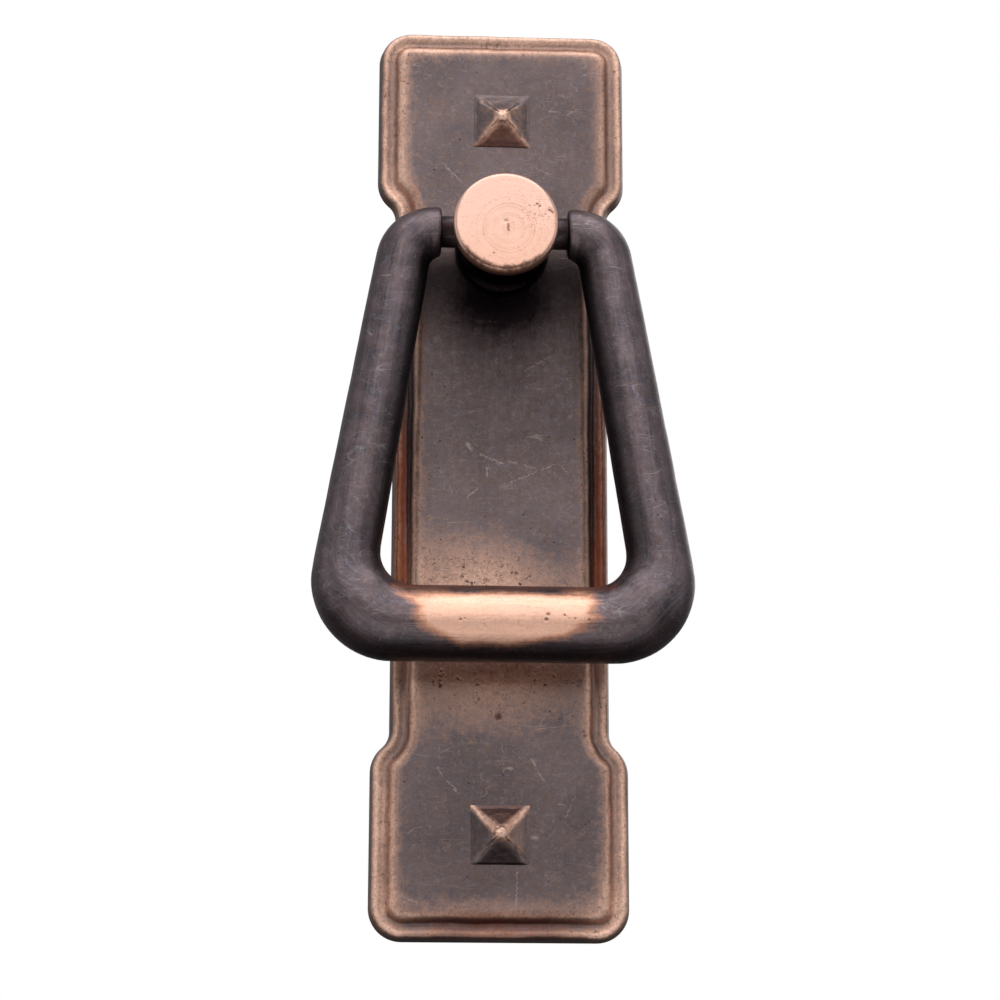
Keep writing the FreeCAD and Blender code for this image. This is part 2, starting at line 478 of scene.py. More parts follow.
        # Hair scratches and the separate marks show lighter metal, and pits show dark oxide.
        hair: Any = 0.0
        for turn, seed in ((0.5, 1.0), (-0.9, 4.0), (1.4, 7.0), (-0.2, 11.0)):
            hair = add("Math MAXIMUM", (hair, self.hairlines(add, turn, seed)))
        hair = add("Math MULTIPLY", (hair, self.hair_amount))
        light = add("Math MAXIMUM", (hair, self.marks.scratch_mask(add)))
        light_share = add("Math MULTIPLY", (light, 0.8))
        flecks = add("MapRange", (specks, 0.24, 0.16, 0.0, 0.25))

        # Small dents show only at the borders of worn places, where neither skin nor polish hides them.
        dents = add("MapRange", (chips, 0.63, 0.73, 0.0, self.dent_share))
        for from_level, to_level in ((0.25, 0.7), (1.9, 1.3)):
            dents = add("Math MULTIPLY", (dents, add("MapRange", (worn, from_level, to_level))))
        pits = self.marks.pit_mask(add)
        for more in (add("MapRange", (specks, self.pock_level, self.pock_level + 0.05)), dents):
            pits = add("Math MAXIMUM", (pits, more))
        pit_share = add("Math MULTIPLY", (pits, 0.75))

        # Smut and russet: the black dip left in hollows, mixed with painted shade under the post's head,
        # beside the bail's legs, on the bail's inner, outer and lower sides and at the pyramids' low feet, and the
        # red oxide beside it.
        thin = add("Math MULTIPLY_ADD", (ragged, 0.28, smut))
        dark = add("MapRange", (thin, 0.06, 1.0, 0.0, 0.96))
        red = add("Math MULTIPLY_ADD", (ragged, 0.7, rust))
        russet = add("MapRange", (red, 0.2, 0.95, 0.0, 0.9))
        colour = skin
        for share, coat in (
            (bare, copper), (light_share, self.hair), (flecks, self.hair), (pit_share, self.pit),
            (russet, self.russet), (dark, self.smut),
        ):
            colour = add("Mix", {0: share, 6: colour, 7: coat}, out=2, data_type="RGBA")

        rough = add("Mix", {0: bare, 2: self.skin_roughness, 3: self.copper_roughness}, data_type="FLOAT")
        rough = add("Math MULTIPLY_ADD", (ragged, 0.22, rough))

        # Relief: grain, the soft pull of the brush, cuts and pits, each at its share of the relief.
        height = mottle
        for pattern, rise in ((grain, 0.22), (brushed, 0.35), (light, -0.35), (pits, -1.3)):
            height = add("Math MULTIPLY_ADD", (pattern, rise, height))
        end_metal(add, colour, rough, height, self.relief_mm)
        return material


@dataclass(frozen=True)
class TurnedCopper:
    """Copper turned on a lathe and left bright on its face, dark with dip and painted shade on its neck and foot.

    To the eye the face is pale pink metal with faint rings, a spotted centre and a few dents, painted darker towards
    its bottom, and its rounded edge falls off to a brown line, painted darker on its lower side.
    """

    name: str
    face: str = "#efc4b2"
    face_warm: str = "#e9b59b"
    edge: str = "#7a5b4e"
    # Near-black of the dip on the neck and foot, deepened there as painted shade under the head.
    neck: str = "#120d10"
    ring: str = "#d29a80"
    dent: str = "#8a4a30"
    roughness: float = 0.3
    ring_mm: float = 0.36
    ring_centre: tuple[float, float] = (0.3, -0.7)
    mottle_mm: float = 0.6
    cloud_mm: float = 3.2
    grain_mm: float = 0.14
    fleck_mm: float = 0.24
    scuff_centre: tuple[float, float, float] = (3.3, -12.3, 1.2)
    scuff_r: float = 2.4
    relief_mm: float = 0.02
    marks: Marks = Marks()

    def material(self) -> bpy.types.Material:
        """Builds the finish as a node material.

        Returns:
            The material.
        """
        material, add = start_finish(self.name)
        place = add("TexCoord", out="Object")
        rub, smut = (add("Attribute", out="Fac", attribute_name=key.value) for key in (Field.RUB, Field.SMUT_AND_SHADE))
        mottle, cloud, grain, flecks = (
            add("TexNoise", {"Vector": place, "Scale": per_metre(size), "Detail": detail, "Roughness": fine})
            for size, detail, fine in (
                (self.mottle_mm, 5.0, 0.6), (self.cloud_mm, 3.0, 0.5),
                (self.grain_mm, 2.0, 0.5), (self.fleck_mm, 1.0, 0.5),
            )
        )

        # Rings: the tool's feed marks, as a pattern of the distance from the post's axis alone.
        middle = (self.ring_centre[0] / MM_PER_M, 0.0, self.ring_centre[1] / MM_PER_M)
        flat = add("VectorMath MULTIPLY", (add("VectorMath SUBTRACT", (place, middle)), (1.0, 0.0, 1.0)))
        radius = add("VectorMath LENGTH", (flat,), out="Value")
        feed = add("Math MULTIPLY", (radius, per_metre(self.ring_mm)))
        rings = add("TexNoise", {"W": feed, "Scale": 1.0, "Detail": 2.0, "Roughness": 0.7}, noise_dimensions="1D")
        shown = add("MapRange", (rings, 0.5, 0.62))
        for fade in (add("MapRange", (radius, 0.005, 0.0026)), add("MapRange", (cloud, 0.38, 0.6, 0.1, 0.5))):
            shown = add("Math MULTIPLY", (shown, fade))

        # Face: warmer in spots, and painted darker and warmer towards its lower left as shade.
        falling = add("VectorMath DOT_PRODUCT", (place, (20.0, 0.0, -110.0)), out="Value")
        spotted = add("MapRange", (mottle, 0.42, 0.72, 0.0, 0.45))
        warm_spots_and_shade = add("Math ADD", (falling, spotted), use_clamp=True)

        # Edge: the dip is left in a ragged band where the cloth didn't reach, with painted shade on the lower side of
        # the head's edge;
        # the neck and foot under the head are painted near-black, dip and painted shade together.
        ragged = add("Math ADD", (mottle, -0.5))
        covered = add("Math MULTIPLY_ADD", (ragged, 1.1, rub))
        dip_and_shade = add("Math MULTIPLY_ADD", (ragged, 0.5, smut))

        # Dents: the separate marks, and flecks that stand closer in the scuffed place.
        scuff = tuple(share / MM_PER_M for share in self.scuff_centre)
        away = add("VectorMath DISTANCE", (place, scuff), out="Value")
        near = add("MapRange", (away, self.scuff_r / MM_PER_M, 0.0003, 0.0, 0.16))
        marked = add("MapRange", (add("Math ADD", (flecks, near)), 0.66, 0.8, 0.0, 0.4))
        for mask in (self.marks.pit_mask(add), self.marks.scratch_mask(add)):
            marked = add("Math MAXIMUM", (marked, mask))

        colour: Any = self.face
        for share, coat in (
            (warm_spots_and_shade, self.face_warm), (shown, self.ring), (add("MapRange", (covered, 0.75, 0.35)), self.edge),
            (add("MapRange", (dip_and_shade, 0.25, 0.7)), self.neck), (add("Math MULTIPLY", (marked, 0.7)), self.dent),
        ):
            colour = add("Mix", {0: share, 6: colour, 7: coat}, out=2, data_type="RGBA")
        rough = add("Math MULTIPLY_ADD", (mottle, 0.16, self.roughness - 0.06))
        height = mottle
        for pattern, rise in ((rings, 0.5), (grain, 0.15), (marked, -2.0)):
            height = add("Math MULTIPLY_ADD", (pattern, rise, height))
        end_metal(add, colour, rough, height, self.relief_mm)
        return material


@dataclass(frozen=True)
class PaleBoard:
    """Matt painted board under the pull: off-white, with no gloss and a faint fine tooth."""

    name: str = "pale_painted_board"
    colour: str = "#f4f3f1"
    colour_worn: str = "#efeeec"
    roughness: float = 0.9
    tooth_mm: float = 4.0
    relief_mm: float = 0.1
    glow: float = 0.5

    def material(self) -> bpy.types.Material:
        """Builds the finish as a node material.

        Returns:
            The material.
        """
        material, add = start_finish(self.name)
        place = add("TexCoord", out="Object")
        tooth = add("TexNoise", {"Vector": place, "Scale": per_metre(self.tooth_mm)})
        colour = add("Mix", {0: tooth, 6: self.colour, 7: self.colour_worn}, out=2, data_type="RGBA")
        bump = add("Bump", {"Height": tooth, "Distance": self.relief_mm / MM_PER_M})
        paint = {"Base Color": colour, "Emission Color": colour, "Emission Strength": self.glow}
        board = add("BsdfPrincipled", {**paint, "Roughness": self.roughness, "Normal": bump})
        add("OutputMaterial", {"Surface": board})
        return material


@dataclass(frozen=True)
class PlateOutline:
    """Outline of the long plate about its own centre."""

    half_length: float = 50.8
    half_waist: float = 11.7
    shoulder_step: float = 2.0
    shoulder_length: float = 4.4
    shoulder_from_centre: float = 30.9
    shoulder_convex_r: float = 3.6
    corner_r: float = 3.5
    waist_points: int = 72
    shoulder_points: int = 9
    side_points: int = 36
    corner_points: int = 6
    top_points: int = 26

    def arc(self, x: float, z: float, reach_x: float, reach_z: float, turns: np.ndarray) -> np.ndarray:
        """Points of a round that leaves x, z in the direction of z and turns towards x."""
        return np.column_stack([x + reach_x * (1 - np.cos(turns)), z + reach_z * np.sin(turns)])

    def quarter(self, inset: float) -> tuple[np.ndarray, np.ndarray]:
        """One quarter of the outline, moved inwards by inset.

        Args:
            inset: Distance inside the plate's foot.

        Returns:
            The side, from the middle up to the middle of the corner, and the top, from there to the centre line.
        """
        both_r = (self.shoulder_step ** 2 + self.shoulder_length ** 2) / (2 * self.shoulder_step)
        turn = math.asin(self.shoulder_length / both_r)
        concave_r = both_r - self.shoulder_convex_r + inset
        convex_r = self.shoulder_convex_r - inset
        waist = self.half_waist - inset
        side = self.half_waist + self.shoulder_step - inset
        top = self.half_length - inset
        radius = self.corner_r - inset
        low = self.shoulder_from_centre - self.shoulder_length / 2
        high = self.shoulder_from_centre + self.shoulder_length / 2
        rising = np.linspace(0, turn, self.shoulder_points, endpoint=False)
        falling = np.linspace(turn, 0, self.shoulder_points, endpoint=False)
        first_turn = np.linspace(0, math.pi / 4, self.corner_points + 1)
        second_turn = np.linspace(math.pi / 4, math.pi / 2, self.corner_points, endpoint=False)
        corner = (side, top - radius, -radius, radius)
        side_run = [
            np.linspace((waist, 0), (waist, low), self.waist_points, endpoint=False),
            self.arc(waist, low, concave_r, concave_r, rising),
            self.arc(side, high, -convex_r, -convex_r, falling),
            np.linspace((side, high), (side, top - radius), self.side_points, endpoint=False),
            self.arc(*corner, first_turn),
        ]
        top_run = [
            self.arc(*corner, second_turn),
            np.linspace((side - radius, top), (0, top), self.top_points + 1),
        ]
        return np.concatenate(side_run), np.concatenate(top_run)

    def borders(self, inset: float) -> tuple[np.ndarray, np.ndarray]:
        """The whole right side from bottom to top, and the whole top edge from left to right."""
        side, top = self.quarter(inset)
        right = np.concatenate([side[:0:-1] * (1, -1), side])
        half_top = top[::-1]
        return right, np.concatenate([half_top[::-1] * (-1, 1), half_top[1:]])

    def loop(self, inset: float) -> np.ndarray:
        """The closed outline: up the right side, left along the top, down the left side and back."""
        right, top = self.borders(inset)
        return np.concatenate([right, top[-2:0:-1], right[::-1] * (-1, 1), top[1:-1] * (1, -1)])


@dataclass(frozen=True)
class SoftArea:
    """Broad soft area of one painted field: wear where handling thinned the dark skin, soot and red oxide, and
    painted shade beside the bail's legs and under the post's head.
    """

    x: float
    z: float
    reach_x: float
    reach_z: float
    strength: float

    def at(self, x: np.ndarray, z: np.ndarray) -> np.ndarray:
        """Share of this wear at each point."""
        return self.strength * np.exp(-((x - self.x) / self.reach_x) ** 2 - ((z - self.z) / self.reach_z) ** 2)


def areas(*rows: tuple[float, float, float, float, float]) -> tuple[SoftArea, ...]:
    """Makes one area of each row of its numbers."""
    return tuple(SoftArea(*row) for row in rows)


@dataclass(frozen=True)
class PyramidWear:
    """Where one pyramid stands on the plate, and how its ridges and faces have aged.

    Pairs are for the upper and the lower ridges; faces go low, right, up, left.
    """

    from_centre: float
    ridges: tuple[float, float]
    rub: tuple[float, float, float, float]
    smut: tuple[float, float, float, float]
    russet: tuple[float, float, float, float]


@dataclass
class Backplate:
    """Cast plate: rim, groove, raised panel, two pyramids, and a hollow back with a boss."""

    outline: PlateOutline = PlateOutline()
    centre_z: float = -24.5
    panel_out: float = 2.55
    wall_inset: float = 0.3
    back_rim: float = 2.4
    recess_out: float = 1.1
    recess_draft: float = 0.3
    boss_r: float = 5.63
    boss_draft: float = 0.3
    hole_r: float = 3.03
    hole_half_flats: float = 2.63
    back_smut: float = 0.1
    hidden_r: float = 4.6
    pyramid_half: float = 3.04
    pyramid_rise: float = 2.05
    pyramid_tip_half: float = 0.44
    pyramid_hollow: float = 1.22
    ridge_round: float = 0.42
    ridge_spread: float = 0.9
    sway: float = 0.1
    panel_rub: float = 0.29
    rub_fade: float = 0.8
    skin_thickness: float = 0.02
    finish: RelievedCopper = RelievedCopper("relieved_cast_copper_plate")
    # The wear areas include negative rows that paint shadow beside the bail's legs.
    wear: tuple[SoftArea, ...] = ()
    soot_and_shade: tuple[SoftArea, ...] = ()
    rust: tuple[SoftArea, ...] = ()
    pyramids: tuple[PyramidWear, ...] = ()

    def profile(self) -> list[tuple[float, float, float, float]]:
        """Section through the border, from the foot of the wall to the flat panel.

        Returns:
            Rows of inset, distance out, rub and smut.
        """
        return [
            (0.0, 0.0, 0.0, 0.35), (0.02, 0.06, 0.0, 0.35), (0.1, 0.5, 0.05, 0.32), (0.2, 1.0, 0.1, 0.28),
            (0.27, 1.33, 0.25, 0.18), (0.33, 1.51, 0.5, 0.0), (0.43, 1.65, 0.75, 0.0), (0.55, 1.72, 0.9, 0.0),
            (0.68, 1.75, 0.98, 0.0), (0.82, 1.74, 0.96, 0.0), (0.96, 1.7, 0.86, 0.0), (1.1, 1.64, 0.7, 0.0),
            (1.25, 1.57, 0.5, 0.0), (1.4, 1.525, 0.36, 0.0), (1.55, 1.51, 0.3, 0.0), (1.7, 1.53, 0.3, 0.0),
            (1.83, 1.6, 0.34, 0.0), (1.94, 1.71, 0.42, 0.0), (2.04, 1.86, 0.54, 0.0), (2.14, 2.02, 0.7, 0.0),
            (2.25, 2.17, 0.9, 0.0), (2.37, 2.29, 1.05, 0.0), (2.51, 2.39, 1.08, 0.0), (2.67, 2.465, 0.84, 0.0),
            (2.85, 2.52, 0.58, 0.0), (3.05, 2.545, 0.4, 0.0), (3.25, self.panel_out, self.panel_rub, 0.0),
        ]

    def on_front(self, flat: np.ndarray, out: float | np.ndarray) -> np.ndarray:
        """Points of the plate from x and z about its centre, and distance out."""
        outs = np.broadcast_to(out, (len(flat),))
        return np.column_stack([flat[:, 0], -outs, flat[:, 1] + self.centre_z])

    def add_ring(self, draft: Draft, inset: float, out: float, rub: float, smut: float) -> np.ndarray:
        """Adds one outline ring, with the casting's soft sway in its line and its height.

        Args:
            draft: Draft that gets the ring.
            inset: Distance inside the plate's foot.
            out: Distance out.
            rub: How much the ring is rubbed.
            smut: How much dark dip stays on it.

        Returns:
            The ring's point numbers.
        """
        flat = self.outline.loop(inset)
        points = self.on_front(flat, out)
        if inset > self.wall_inset:
            step = 0.05
            inward = (self.outline.loop(inset + step) - flat) / step
            sway = self.sway * unevenness(points, 4.0, 2.0) + self.sway * 0.6 * unevenness(points, 1.3, 5.0)
            points[:, [0, 2]] += inward * sway[:, None]
            points[:, 1] += self.settled(points)
        broken = rub * (1.0 + 0.4 * unevenness(points, 3.0, 11.0))
        return draft.add(points, rub=broken, course=self.course(points), **self.aged(points, smut))

    def settled(self, points: np.ndarray) -> np.ndarray:
        """How far each point of the uneven front lies below its drawn height."""
        return 0.02 + 0.02 * unevenness(points, 2.5, 8.0)

    def aged(self, points: np.ndarray, smut: float) -> dict[str, np.ndarray]:
        """Broad wear, soot and red oxide at each point; some of the wear and soot areas paint shade.

        Args:
            points: Points as rows of x, y, z.
            smut: Dark dip that the place keeps anyway.

        Returns:
            The three painted fields.
        """
        fields = {}
        for key, areas in ((Field.BLUSH, self.wear), (Field.SMUT_AND_SHADE, self.soot_and_shade), (Field.RUSSET, self.rust)):
            fields[key.value] = sum((area.at(points[:, 0], points[:, 2]) for area in areas), np.zeros(len(points)))
        fields[Field.SMUT_AND_SHADE.value] += smut
        return fields

    def course(self, points: np.ndarray) -> np.ndarray:
        """Pattern position on the plate, which the brush crossed lengthwise."""
        return points[:, [2, 0, 1]]

    def add_field(self, draft: Draft, ring: np.ndarray, inset: float, out: float, front: bool) -> None:
        """Fills a ring with a flat grid that leaves the place under the post open.

        Args:
            draft: Draft that gets the grid.
            ring: Point numbers of the ring that bounds the grid.
            inset: The ring's inset.
            out: Distance out of the grid.
            front: True for the panel, False for the hollow back.
        """
        plain_right, plain_top = self.outline.borders(inset)
        rows, columns = len(plain_right), len(plain_top)
        middle = np.array([0.0, self.centre_z])
        bound = np.concatenate(draft.points)[ring][:, [0, 2]] - middle
        right = bound[:rows]
        top = bound[rows - 1:rows + columns - 1][::-1]
        left = bound[rows + columns - 2:2 * rows + columns - 2][::-1]
        bottom = np.concatenate([bound[2 * rows + columns - 3:], bound[:1]])
        v = ((plain_right[:, 1] - plain_right[0, 1]) / np.ptp(plain_right[:, 1]))[1:-1, None, None]
        u = ((plain_top[:, 0] - plain_top[0, 0]) / np.ptp(plain_top[:, 0]))[None, 1:-1, None]
        across = (1 - u) * left[1:-1, None] + u * right[1:-1, None]
        along = (1 - v) * bottom[None, 1:-1] + v * top[None, 1:-1]
        corners = (1 - u) * (1 - v) * left[0] + u * (1 - v) * right[0] + (1 - u) * v * left[-1] + u * v * right[-1]
        flat = (across + along - corners).reshape(-1, 2)
        points = self.on_front(flat, out)
        grid = np.zeros((rows, columns), int)
        grid[:, -1] = ring[:rows]
        grid[-1, ::-1] = ring[rows - 1:rows + columns - 1]
        grid[::-1, 0] = ring[rows + columns - 2:2 * rows + columns - 2]
        grid[0, :] = np.concatenate([ring[2 * rows + columns - 3:], ring[:1]])
        if front:
            x, z = np.abs(flat).T
            from_side = np.minimum(self.half_width(flat[:, 1]) - x, self.outline.half_length - z)
            rub = self.panel_rub * np.exp(-np.clip(from_side - inset, 0, None) / self.rub_fade)
            points[:, 1] += self.settled(points)
            new = draft.add(points, rub=rub, course=self.course(points), **self.aged(points, 0.0))
        else:
            new = draft.add(points, smut=0.12, course=self.course(points))
        grid[1:-1, 1:-1] = new.reshape(rows - 2, columns - 2)
        positions = np.concatenate(draft.points)
        from_post = np.hypot(positions[:, 0], positions[:, 2])
        faces = np.stack([grid[:-1, :-1], grid[:-1, 1:], grid[1:, 1:], grid[1:, :-1]], axis=-1).reshape(-1, 4)
        faces = faces[from_post[faces].max(axis=1) > self.hidden_r]
        draft.faces += (faces if front else faces[:, ::-1]).tolist()

    def half_width(self, z: np.ndarray) -> np.ndarray:
        """Half width of the plate's foot at heights above and below its centre."""
        right, _ = self.outline.borders(0.0)
        return np.interp(z, right[:, 1], right[:, 0])

    def add_pyramid(self, draft: Draft, look: PyramidWear, side_points: int = 26) -> None:
        """Adds one four-sided boss with a blunt worn tip, worn ridges and a painted shade line along the foot of its
        low face.

        Args:
            draft: Draft that gets the boss.
            look: Its place and wear.
            side_points: Points along each side.
        """
        # Each row is the share of the rise and the share of the way in: a soft foot, the faces, a blunt tip.
        rows = [(-0.014, -0.05), (0.001, -0.02), (0.012, 0.005), (0.032, 0.03)]
        rows += [(rise, rise) for rise in np.linspace(0.06, 0.94, 20)]
        rows += [(0.965, 0.975), (0.985, 1.02), (0.997, 1.07), (1.0, 1.11)]
        along = np.linspace(-1, 1, side_points, endpoint=False)
        one = np.ones(side_points)
        square = np.concatenate([
            np.column_stack([along, -one]), np.column_stack([one, along]),
            np.column_stack([-along, one]), np.column_stack([-one, -along]),
        ])
        face = np.repeat(np.arange(4), side_points)
        near_ridge = np.abs(square).min(axis=1)
        round_shape = square / np.linalg.norm(square, axis=1)[:, None] * 1.12
        ridge_wear = np.where(square[:, 1] > 0, look.ridges[0], look.ridges[1])
        middle_z = self.centre_z + look.from_centre
        foot_out = self.panel_out - self.skin_thickness
        spread = self.pyramid_half - self.pyramid_tip_half
        rings = []
        for rise, share in rows:
            half = self.pyramid_tip_half + spread * max(1 - share, 0) ** self.pyramid_hollow
            half -= 2.6 * max(share - 0.97, 0.0)
            blunt = float(eased(share, 0.8, 1.0))
            corner = self.ridge_round / half * 0.7 * float(eased(share, 0.0, 0.25))
            softened = square * (1 - corner * eased(near_ridge, 0.75, 1.0))[:, None]
            flat = (softened * (1 - blunt) + round_shape * blunt) * half
            out = np.full(len(flat), foot_out + self.pyramid_rise * rise)
            points = np.column_stack([flat[:, 0], -out, flat[:, 1] + middle_z])
            chips = unevenness(points, 0.5, 3.0)
            if share > 0.05:
                points[:, 1] += 0.05 + (0.03 + 0.15 * blunt) * chips + 0.04 * unevenness(points, 1.3, 6.0)
                points[:, 0] += 0.16 * blunt * unevenness(points, 0.4, 9.0)
                points[:, [0, 2]] += 0.07 * (1 - share) * unevenness(points, 1.1, 12.0)[:, None]
            on_ridge = eased(near_ridge, 1 - (self.ridge_spread + 0.5 * share) / half, 1.0)
            worn = np.array(look.rub)[face] * eased(share, 0.0, 0.3) + ridge_wear * on_ridge * (0.45 + 0.55 * share)
            # Painted shade: a dark line along the foot of the low face.
            foot = 0.5 * (1 - eased(share, 0.0, 0.1)) * (face == 0)
            smut = np.array(look.smut)[face] * (1 - on_ridge) * (1 - eased(share, 0.4, 0.9)) + foot
            rust = np.array(look.russet)[face] * (1 - eased(share, 0.6, 0.95))
            tip = 1.4 * eased(share, 0.68, 0.9)
            rub = worn + tip + 0.7 * chips * np.maximum(on_ridge, tip)
            rings.append(draft.add(points, rub=rub, smut=smut, russet=rust, course=self.course(points)))
        draft.tube(rings)
        draft.cap(rings[-1], (0.0, -foot_out - self.pyramid_rise, middle_z), rub=1.3)

    def add_boss(self, draft: Draft, count: int = 96) -> None:
        """Adds the round boss behind the plate, with the keyed hole for the post's spigot.

        Args:
            draft: Draft that gets the boss.
            count: Points round it.
        """
        turn = full_turn(count)
        keyed = np.minimum(self.hole_r, self.hole_half_flats / np.maximum(np.abs(np.cos(turn)), 1e-6))
        rows = [
            (self.boss_r + self.boss_draft, self.recess_out), (self.boss_r + 0.05, 0.08), (self.boss_r, 0.0),
            (self.boss_r - 0.4, 0.0), (keyed + 0.06, 0.0), (keyed, 0.06), (keyed, self.panel_out - 0.1),
        ]
        draft.tube([self.add_back_ring(draft, about_post(turn, radius, out), out) for radius, out in rows])

    def add_back_ring(self, draft: Draft, points: np.ndarray, out: float) -> np.ndarray:
        """Adds one ring behind the plate, rubbed a little where it lies on the drawer."""
        return draft.add(points, rub=0.4 if out < 0.05 else 0.0, smut=self.back_smut, course=self.course(points))

    def build(self) -> bpy.types.Object:
        """Builds the plate's mesh.

        Returns:
            The plate's object.
        """
        draft = Draft()
        profile = self.profile()
        rings = [self.add_ring(draft, *row) for row in profile]
        draft.tube(rings)
        self.add_field(draft, rings[-1], profile[-1][0], self.panel_out, front=True)
        back_rows = [
            (0.12, 0.0), (self.back_rim - 0.06, 0.0), (self.back_rim + 0.02, 0.08),
            (self.back_rim + self.recess_draft, self.recess_out),
        ]
        back = [
            self.add_back_ring(draft, self.on_front(self.outline.loop(inset), out), out) for inset, out in back_rows
        ]
        draft.tube([*back[::-1], rings[0]])
        self.add_field(draft, back[-1], back_rows[-1][0], self.recess_out, front=False)
        self.add_boss(draft)
        for look in self.pyramids:
            self.add_pyramid(draft, look)
        return draft.make("backplate_cast")

    def dress(self, plate: bpy.types.Object) -> None:
        """Gives the plate its finish and its place in the frame."""
        plate.data.materials.append(self.finish.material())
        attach(plate, Body.PLATE_AND_POST.value)
        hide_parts("backplate")


@dataclass
class Post:
    """Turned post: keyed spigot with its tapped hole, foot, neck with a cross hole, and round head."""

    panel_out: float = 2.55
    bore_r: float = 1.725
    bore_depth: float = 5.0635
    drill_half_angle: float = 59.0
    spigot_r: float = 3.0
    spigot_half_flats: float = 2.6
    foot_r: float = 5.15
    foot_thickness: float = 1.3
    neck_r: float = 4.2
    foot_slope: float = 0.6
    pivot_out: float = 8.6
    cross_hole_r: float = 1.75
    neck_top_out: float = 10.65
    head_r: float = 5.65
    head_out: float = 12.3
    head_edge_r: float = 0.55
    edge_steps: int = 9
    dimple_r: float = 0.24
    dimple_depth: float = 0.1
    segments: int = 160
    hole_segments: int = 64
    finish: TurnedCopper = TurnedCopper("turned_copper_post")

    def profile(self) -> list[tuple[float, float, float, float]]:
        """Half section of the post, from the hole's drill point round to the middle of the head.

        Returns:
            Rows of radius, distance out, rub and smut; on the neck and foot under the head the smut is dip and
            painted shade together. The spigot's radius is cut to its flats later.
        """
        bore, spigot, foot, neck, head = self.bore_r, self.spigot_r, self.foot_r, self.neck_r, self.head_r
        panel, neck_top, face = self.panel_out, self.neck_top_out, self.head_out
        foot_top = panel + self.foot_thickness
        drill_point = self.bore_depth + bore / math.tan(math.radians(self.drill_half_angle))
        rows = [
            (0.0, drill_point, 0.0, 0.9), (bore - 0.05, self.bore_depth + 0.03, 0.0, 0.8),
            (bore, self.bore_depth - 0.05, 0.2, 0.4), (bore, 0.25, 0.5, 0.1), (bore + 0.2, 0.02, 0.9, 0.0),
            (bore + 0.26, 0.0, 0.9, 0.0), (spigot - 0.12, 0.0, 0.8, 0.0), (spigot, 0.12, 0.6, 0.0),
            (spigot, panel, 0.0, 0.5), (foot - 0.03, panel, 0.1, 0.9), (foot, panel + 0.03, 0.1, 0.85),
            (foot, foot_top - 0.34, 0.1, 0.9), (foot - 0.04, foot_top - 0.2, 0.15, 0.85),
            (foot - 0.12, foot_top - 0.08, 0.15, 0.85), (foot - 0.26, foot_top - 0.02, 0.1, 0.9),
            (neck + 0.35, foot_top + 0.25, 0.2, 0.85), (neck + 0.1, foot_top + 0.48, 0.1, 0.95),
            (neck, foot_top + self.foot_slope + 0.08, 0.0, 0.95), (neck, foot_top + 1.5, 0.1, 0.9),
            (neck, neck_top - 1.0, 0.1, 0.9), (neck, neck_top - 0.05, 0.0, 0.95), (neck + 0.06, neck_top, 0.0, 0.95),
            (head - 0.33, neck_top, 0.0, 0.85), (head - 0.22, neck_top + 0.06, 0.4, 0.4),
            (head - 0.06, neck_top + 0.2, 0.8, 0.0), (head, neck_top + 0.34, 0.95, 0.0),
            (head, face - self.head_edge_r - 0.1, 0.95, 0.0),
        ]
        for angle in np.linspace(0, math.pi / 2, self.edge_steps + 1):
            radius = head - self.head_edge_r * (1 - math.cos(angle))
            rows.append((radius, face - self.head_edge_r * (1 - math.sin(angle)), 1.0, 0.0))
        rows += [(radius, face, 1.0, 0.0) for radius in (4.95, 4.8, 4.6, 4.2, 3.4, 2.6, 1.8, 1.1, 0.6)]
        rows += [(self.dimple_r + 0.05, face, 1.0, 0.0), (self.dimple_r - 0.08, face - 0.03, 1.0, 0.0)]
        rows.append((0.0, face - self.dimple_depth, 0.9, 0.0))
        return rows

    def build(self) -> bpy.types.Object:
        """Builds the post's mesh and drills its cross hole.

        Returns:
            The post's object.
        """
        draft = Draft()
        turn = full_turn(self.segments)
        flats = self.spigot_half_flats / np.maximum(np.abs(np.cos(turn)), 1e-6)
        first, *profile, final = self.profile()
        rings = []
        for radius, out, rub, smut in profile:
            radii = np.full(self.segments, radius)
            if out <= self.panel_out and self.bore_r + 0.3 < radius <= self.spigot_r:
                radii = np.minimum(radii, flats - (self.spigot_r - radius))
            # Painted shade: the lower side of the head's rounded edge loses its rub and shows the darker edge colour.
            low_side_shade = eased(-np.sin(turn + 0.15), 0.3, 0.9) * math.exp(-((radius - self.head_r + 0.45) / 0.42) ** 2)
            worn = rub - 0.66 * low_side_shade * (out > self.head_out - 0.6)
            points = about_post(turn, radii, out)
            rings.append(draft.add(points, rub=worn, smut=smut, course=points))
        draft.tube(rings)
        for ring, (_, out, rub, smut) in ((rings[0][::-1], first), (rings[-1], final)):
            draft.cap(ring, (0.0, -out, 0.0), rub=rub, smut=smut)
        post = draft.make("post_turned")
        self.drill(post)
        return post

    def drill(self, post: bpy.types.Object) -> None:
        """Cuts the cross hole for the bail's trunnions through the neck."""
        hole = Draft()
        turn = full_turn(self.hole_segments)
        y, z = -self.pivot_out + self.cross_hole_r * np.cos(turn), self.cross_hole_r * np.sin(turn)
        reach = self.neck_r + 1.0
        ends = [hole.add(np.column_stack([np.full(len(turn), x), y, z]), smut=0.9) for x in (-reach, reach)]
        hole.tube(ends)
        hole.faces += [ends[0][::-1].tolist(), ends[1].tolist()]
        drill = hole.make("cross_drill")
        cut = post.modifiers.new("cross_hole", "BOOLEAN")
        cut.operation = "DIFFERENCE"
        cut.solver = "EXACT"
        cut.object = drill
        shown = post.evaluated_get(bpy.context.evaluated_depsgraph_get())
        drilled = bpy.data.meshes.new_from_object(shown)
        post.modifiers.clear()
        post.data = drilled
        bpy.data.objects.remove(drill)

    def dress(self, post: bpy.types.Object) -> None:
        """Gives the post its finish and its place in the frame."""
        post.data.materials.clear()
        post.data.materials.append(self.finish.material())
        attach(post, Body.PLATE_AND_POST.value)
        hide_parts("post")


OUTWARDS = np.array([1.0, 0.0])


